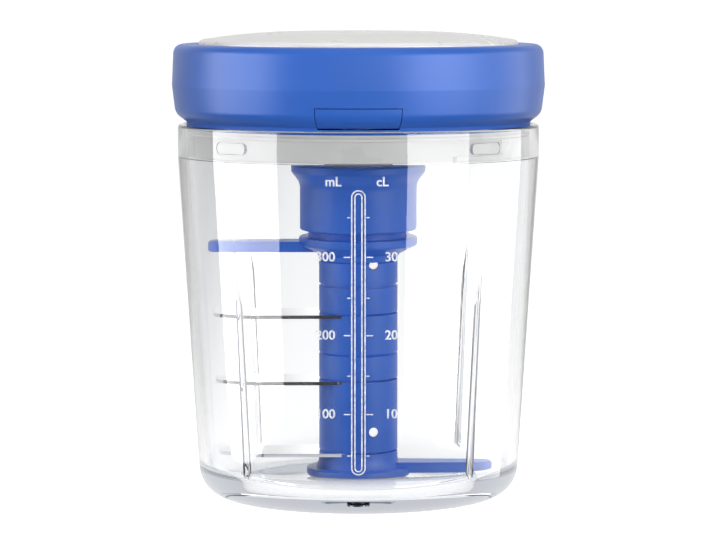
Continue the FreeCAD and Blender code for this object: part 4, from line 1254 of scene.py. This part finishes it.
@dataclass
class Lid:
    """The blue ring, the pale cap, the skirt with its bayonet slots, and the seal."""

    radius: float = 48.8
    top_radius: float = 48.3
    low: float = 98.3
    crease: float = 108.2
    high: float = 118.9
    low_round: float = 3.5
    high_round: float = 2.4
    skirt_radius: float = 44.95
    skirt_low: float = 89.9
    skirt_bore: float = 42.35
    plate_low: float = 94.4
    plate_high: float = 97.0
    channel_radius: float = 43.55
    channel_low: float = 91.25
    channel_high: float = 94.95
    turn: float = 20.0
    entry_half: float = 7.74
    seal_low: float = 95.3
    seal_high: float = 96.5
    cap_radius: float = 41.9
    cap_high: float = 122.1
    cap_seat: float = 116.9
    handle_sweep: float = 26.0
    handle_play: float = 0.22
    handle_top: float = 103.87

    def ring(self) -> Piece:
        """Build the blue ring with the handle's pocket."""
        piece = lathe("blue_ring", [
            (38.6, self.plate_high), (self.skirt_radius, self.plate_high, 0.2), (self.skirt_radius, self.low),
            (self.skirt_radius + 0.2, self.low + 0.55, 0.3),
            (self.radius - 0.9, self.low + 2.6, self.low_round), (self.radius, self.crease, 1.5),
            (self.top_radius, self.high, self.high_round), (42.1, self.high, 0.5), (42.1, self.cap_seat),
            (39.9, self.cap_seat), (39.9, 115.1), (45.9, 115.1, 1.0), (45.9, 100.9, 1.0),
            (43.95, self.low), (38.6, self.low)], 224, arc_step=6)
        sweep = self.handle_sweep + 2 * self.handle_play
        pocket = lathe("pocket", [(37.6, self.low), (50, self.low), (50, self.handle_top),
                                  (37.6, self.handle_top)], 24, -90 - sweep / 2, sweep)
        combine(piece, pocket, Join.CUT)
        return piece

    def cap(self) -> Piece:
        """Build the pale cap with its gentle crown."""
        return lathe("pale_cap", [
            (0, self.cap_high), (28, self.cap_high, 150), (self.cap_radius, 119.9, 1.4),
            (self.cap_radius, self.cap_seat), (39.7, self.cap_seat), (39.7, 114.5), (38.44, 114.5),
            (38.44, 118.7), (28, 120.3, 90), (0, 120.3)], 192, arc_step=1.5)

    def base(self) -> Piece:
        """Build the pale base with its skirt, seal groove, hub and posts."""
        groove = self.skirt_radius - 1.2
        piece = lathe("pale_base", [
            (6.11, 84.5), (9.0, 84.5, 0.8), (9.0, self.plate_low, 1.0),
            (self.skirt_bore, self.plate_low, 1.5),
            (self.skirt_bore, self.skirt_low, 0.5), (self.skirt_radius, self.skirt_low, 0.5),
            (self.skirt_radius, self.seal_low), (groove, self.seal_low), (groove, self.seal_high),
            (self.skirt_radius, self.seal_high), (self.skirt_radius, self.plate_high),
            (6.11, self.plate_high)], 192)
        outside = self.skirt_radius + 1
        start = -45 - self.turn - self.entry_half
        channel = lathe("channel", [
            (self.channel_radius, self.channel_low), (outside, self.channel_low),
            (outside, self.channel_high), (self.channel_radius, self.channel_high)],
            16, start, self.turn + 2 * self.entry_half)
        entry = lathe("entry", [
            (self.channel_radius, self.skirt_low - 1), (outside, self.skirt_low - 1),
            (outside, self.channel_low + 1), (self.channel_radius, self.channel_low + 1)],
            8, start, 2 * self.entry_half)
        around(piece, [channel, entry], Join.CUT, (0, 90, 180, 270))
        for azimuth in (90, 210, 330):
            centre = Matrix.Rotation(math.radians(azimuth), 3, "Z") @ Vector((33.5, 0, 101.25))
            combine(piece, bar(3, 9.5, centre), Join.ADD)
        return piece

    def seal(self) -> Piece:
        """Build the silicone seal with its soft lip."""
        return lathe("soft_seal", [
            (44.05, self.seal_low + 0.03), (44.7, self.seal_low + 0.03), (45.2, 95.9, 0.3),
            (44.7, self.seal_high - 0.03), (44.05, self.seal_high - 0.03)], 160)

    def build(self, finishes: Finishes) -> None:
        """Build the lid and dress what it holds."""
        fit(self.ring(), "lid", finishes.blue, ["lid_ring"])
        fit(self.cap(), "lid", finishes.pale, ["lid_cap"])
        fit(self.base(), "lid", finishes.pale, ["lid_base"])
        fit(self.seal(), "seal", finishes.silicone, ["seal_ring"])
        for node in ("shaft_bush", "spring_cup", "spring_cover", "cord_guide"):
            dress(node, finishes.acetal)
        for node in ("recoil_spring", "cup_screws", "base_screws"):
            dress(node, finishes.steel)


@dataclass
class PullDrive:
    """The spool, its winding, the handle and the cord between them."""

    handle_low: float = 98.7
    handle_high: float = 103.7
    handle_inner: float = 38.6
    handle_sweep: float = 26.0
    grip_radius: float = 44.6
    grip_depth: float = 1.5
    cord_radius: float = 0.9
    cord_height: float = 100.8
    winding_radius: float = 18.6
    core_radius: float = 16.03
    guide_back: float = 35.3
    knot: float = 40.1
    winding_low: float = 99.75
    winding_high: float = 104.45
    rounds: int = 3

    def handle(self) -> Piece:
        """Build the handle, flush with the ring, with its finger recess."""
        piece = lathe("front_handle", [
            (self.handle_inner, self.handle_low, 0.6), (45.0, self.handle_low, 0.3), (47.9, 100.9, 3.5),
            (48.22, self.handle_high, 0.2), (self.handle_inner, self.handle_high, 0.6)],
            24, -90 - self.handle_sweep / 2, self.handle_sweep)
        recess = lathe("recess", [
            (self.handle_inner + 1.6, self.handle_high - self.grip_depth),
            (self.grip_radius, self.handle_high - self.grip_depth, 0.6),
            (self.grip_radius, self.handle_high + 1), (self.handle_inner + 1.6, self.handle_high + 1)],
            16, -90 - self.handle_sweep * 0.38, self.handle_sweep * 0.76)
        combine(piece, recess, Join.CUT)
        return piece

    def cord_run(self, name: str, start: Vector, end: Vector, cuts: int) -> Piece:
        """Build a straight run of cord.

        Args:
            name: The piece's name.
            start: One end, in millimetres.
            end: The other end.
            cuts: Rings along the run.

        Returns:
            The cord.
        """
        run = end - start
        deselect()
        bpy.ops.mesh.primitive_cylinder_add(vertices=20, radius=self.cord_radius * 0.98 * MM,
                                            depth=run.length * MM, end_fill_type="TRIFAN")
        piece = bpy.context.object
        piece.name = name
        piece.rotation_euler = run.to_track_quat("Z", "X").to_euler()
        piece.location = (start + end) / 2 * MM
        return divide_long(settle(piece), run.length * 0.9, cuts)

    def winding(self) -> Piece:
        """Build the wound cord: a core with the rounded turns of its outer layer."""
        pitch = (self.winding_high - self.winding_low) / self.rounds
        corners: list[Corner] = [(self.core_radius, self.winding_low)]
        for turn in range(self.rounds):
            bottom = self.winding_low + turn * pitch
            corners += [(self.winding_radius, bottom + 0.02, pitch * 0.42),
                        (self.winding_radius, bottom + pitch - 0.02, pitch * 0.42),
                        (self.winding_radius - 0.7, bottom + pitch)]
        corners[-1] = (self.core_radius, self.winding_high)
        return lathe("wound_cord", corners, 96)

    def build(self, finishes: Finishes) -> None:
        """Build the handle and cord, and dress the spool."""
        fit(self.handle(), "handle", finishes.blue, ["pull_handle"])
        fit(self.winding(), "spool", finishes.cord, ["cord_winding"])
        reach = self.winding_radius + self.cord_radius + 0.3
        angle = math.acos(reach / self.guide_back)
        tangent = Vector((-math.sin(angle) * reach, -math.cos(angle) * reach, self.cord_height))
        eye = Vector((0, -self.guide_back, self.cord_height))
        inner_end = eye + (tangent - eye).normalized() * 1.5
        fit(self.cord_run("inner_cord", tangent, inner_end, 2), "lid", finishes.cord, ["cord_lead"])
        end = Vector((0, -self.knot, self.cord_height))
        free = self.cord_run("free_cord", eye, end, 24)
        free.data.materials.append(finishes.cord)
        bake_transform(free)
        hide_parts("pull_cord")
        for node in ("spool", "drive_shaft"):
            dress(node, finishes.acetal)
        dress("cord_stop", finishes.steel)


# The studio


@dataclass(frozen=True)
class Softbox:
    """A softbox that faces the object, at an azimuth from the camera's side, positive to the right."""

    name: str
    azimuth: float
    height: float
    distance: float
    width: float
    tall: float
    power: float
    gloss_only: bool = False

    def hang(self) -> None:
        """Hang the softbox, to show as light or only in reflections."""
        data = bpy.data.lights.new(self.name, "AREA")
        data.shape = "RECTANGLE"
        data.size = self.width * MM
        data.size_y = self.tall * MM
        data.energy = self.power
        lamp = bpy.data.objects.new(self.name, data)
        bpy.context.scene.collection.objects.link(lamp)
        turn = math.radians(self.azimuth)
        across, away = math.sin(turn) * self.distance, -math.cos(turn) * self.distance
        lamp.location = Vector((across, away, self.height)) * MM
        aim = Vector((0, 0, 60)) * MM - lamp.location
        lamp.rotation_euler = aim.to_track_quat("-Z", "Y").to_euler()
        lamp.visible_diffuse = not self.gloss_only
        lamp.visible_glossy = self.gloss_only
        lamp.visible_transmission = False
        lamp.visible_camera = False


@dataclass
class Studio:
    """The pale sweep, the soft light and the camera at the photograph's place."""

    distance: float = 920.0
    eye_height: float = 139.4
    pitch: float = 4.965
    lens: float = 176.5
    aim_offset: float = -0.1
    # painted light: how brightly the paper glows for rays through the bowl, on the left, on the right, its fall
    # to the right and its gain higher up
    painted_glow_left: float = 0.31
    painted_glow_right: float = 0.84
    painted_glow_right_fall: float = 0.22
    painted_glow_high_gain: float = 0.5
    paper_direct: float = 0.95
    front_glow: float = 0.07
    ambient: float = 0.12
    lamps: tuple[Softbox, ...] = (
        Softbox("left_key", -60, 300, 900, 700, 560, 1.6),
        Softbox("right_key", 50, 300, 900, 700, 560, 1.8),
        Softbox("front_key", 5, 250, 900, 900, 460, 5.6),
        Softbox("top_key", 0, 1200, 300, 900, 900, 7.0),
        Softbox("left_strip", -77, 160, 900, 880, 800, 18.0, True),
        Softbox("right_strip", 51, 160, 900, 700, 800, 14.5, True),
        Softbox("right_fade", 97, 160, 900, 900, 800, 7.5, True),
    )

    def camera(self) -> None:
        """Place the camera."""
        data = bpy.data.cameras.new("camera")
        data.lens = self.lens
        data.sensor_width = 36
        data.clip_end = 100
        camera = bpy.data.objects.new("camera", data)
        bpy.context.scene.collection.objects.link(camera)
        camera.location = Vector((self.aim_offset, -self.distance, self.eye_height)) * MM
        camera.rotation_euler = (math.radians(90 - self.pitch), 0, 0)
        bpy.context.scene.camera = camera

    def sweep(self) -> None:
        """Build the floor and its curved backdrop."""
        left, front, bend, radius, top = -4000, -2500, 1500, 900, 4000
        points = [Vector((left, front, 0)), Vector((left, bend, 0))]
        for step in range(1, 9):
            angle = math.radians(step / 8 * 90)
            points.append(Vector((left, bend + math.sin(angle) * radius, (1 - math.cos(angle)) * radius)))
        points.append(Vector((left, bend + radius, top)))
        piece = trace("sweep", points, closed=False)
        bpy.ops.mesh.extrude_region_move(TRANSFORM_OT_translate={"value": (-2 * left * MM, 0, 0)})
        bpy.ops.object.mode_set(mode="OBJECT")
        bpy.ops.object.shade_smooth()
        piece.data.materials.append(self.paper())
        piece.visible_glossy = False

    def paper(self) -> Material:
        """Build the white paper, with painted light for rays through the bowl: a glow behind the object,
        brighter to the right than the left, and a dim patch of painted shade before it.
        """
        material, shader, place = start_material("white_paper")
        tree = material.node_tree
        feed(shader, {"Base Color": (0.55, 0.55, 0.55, 1), "Roughness": 0.9, "Specular IOR Level": 0.0})
        light = add_node(tree, "LightPath", {}).outputs
        ways = add_node(tree, "SeparateXYZ", {"Vector": place}).outputs
        under_bowl = (-0.10, -0.045)
        # painted light: rays through the bowl see the paper glow behind the object, brighter to the right than
        # the left and higher up
        behind = ramp(ways["Y"], under_bowl, (0.0, 1.0))
        sideways = reckon("SUBTRACT", ramp(ways["X"], (-0.15, -0.02), (self.painted_glow_left, self.painted_glow_right)),
                          ramp(ways["X"], (0.03, 0.14), (0.0, self.painted_glow_right_fall)))
        far = reckon("ADD", sideways, ramp(ways["Z"], (0.10, 0.30), (0.0, self.painted_glow_high_gain)))
        clear_view = reckon("MULTIPLY", light["Is Transmission Ray"],
                            reckon("LESS_THAN", light["Diffuse Depth"], 0.5))
        through = reckon("MULTIPLY", reckon("MULTIPLY", behind, far), clear_view)
        direct = reckon("MULTIPLY", light["Is Camera Ray"], self.paper_direct)
        glow = add_node(tree, "Emission", {"Color": (1, 1, 1, 1), "Strength": reckon("ADD", direct, through)})
        # painted shade: rays through the bowl see a dim patch before it instead of the lit paper
        dim = add_node(tree, "Emission", {"Strength": 0.05})
        hidden = reckon("MULTIPLY", ramp(ways["Y"], under_bowl, (1.0, 0.0)), clear_view)
        floor = add_node(tree, "MixShader", {"Fac": hidden, 1: shader.outputs["BSDF"],
                                             2: dim.outputs["Emission"]})
        total = add_node(tree, "AddShader", {0: floor.outputs["Shader"], 1: glow.outputs["Emission"]})
        feed(tree.nodes["Material Output"], {"Surface": total.outputs["Shader"]})
        return material

    def world(self) -> None:
        """Light the scene evenly, and show a pale set behind the object and a dim one before it."""
        world = bpy.data.worlds.new("studio")
        bpy.context.scene.world = world
        world.use_nodes = True
        tree = world.node_tree
        place = add_node(tree, "TexCoord", {}).outputs["Generated"]
        ways = add_node(tree, "SeparateXYZ", {"Vector": place}).outputs
        around_it = reckon("MAXIMUM", ramp(ways["Y"], (-0.35, 0.75), (self.front_glow, 0.95)),
                           ramp(ways["Z"], (0.25, 0.95), (0.0, 0.9)))
        light = add_node(tree, "LightPath", {}).outputs
        seen = reckon("MULTIPLY", reckon("LESS_THAN", light["Diffuse Depth"], 0.5),
                      reckon("MAXIMUM", light["Is Glossy Ray"], light["Is Transmission Ray"]))
        strength = add_node(tree, "Mix", {0: seen, 2: self.ambient, 3: around_it}, data_type="FLOAT")
        whole = reckon("MAXIMUM", strength.outputs[0], light["Is Camera Ray"])
        feed(tree.nodes["Background"], {"Color": (1, 1, 1, 1), "Strength": whole})

    def build(self) -> None:
        """Build the studio."""
        self.camera()
        self.sweep()
        self.world()
        for lamp in self.lamps:
            lamp.hang()
        bpy.context.scene.view_settings.view_transform = "Standard"


def main() -> None:
    """Build the chopper and its studio."""
    logging.basicConfig(level=logging.INFO, format="%(message)s")
    finishes = make_finishes()
    Bowl().build(finishes)
    Spindle().build(finishes)
    Lid().build(finishes)
    PullDrive().build(finishes)
    Studio().build()
    deselect()


if __name__ == "__main__":
    main()
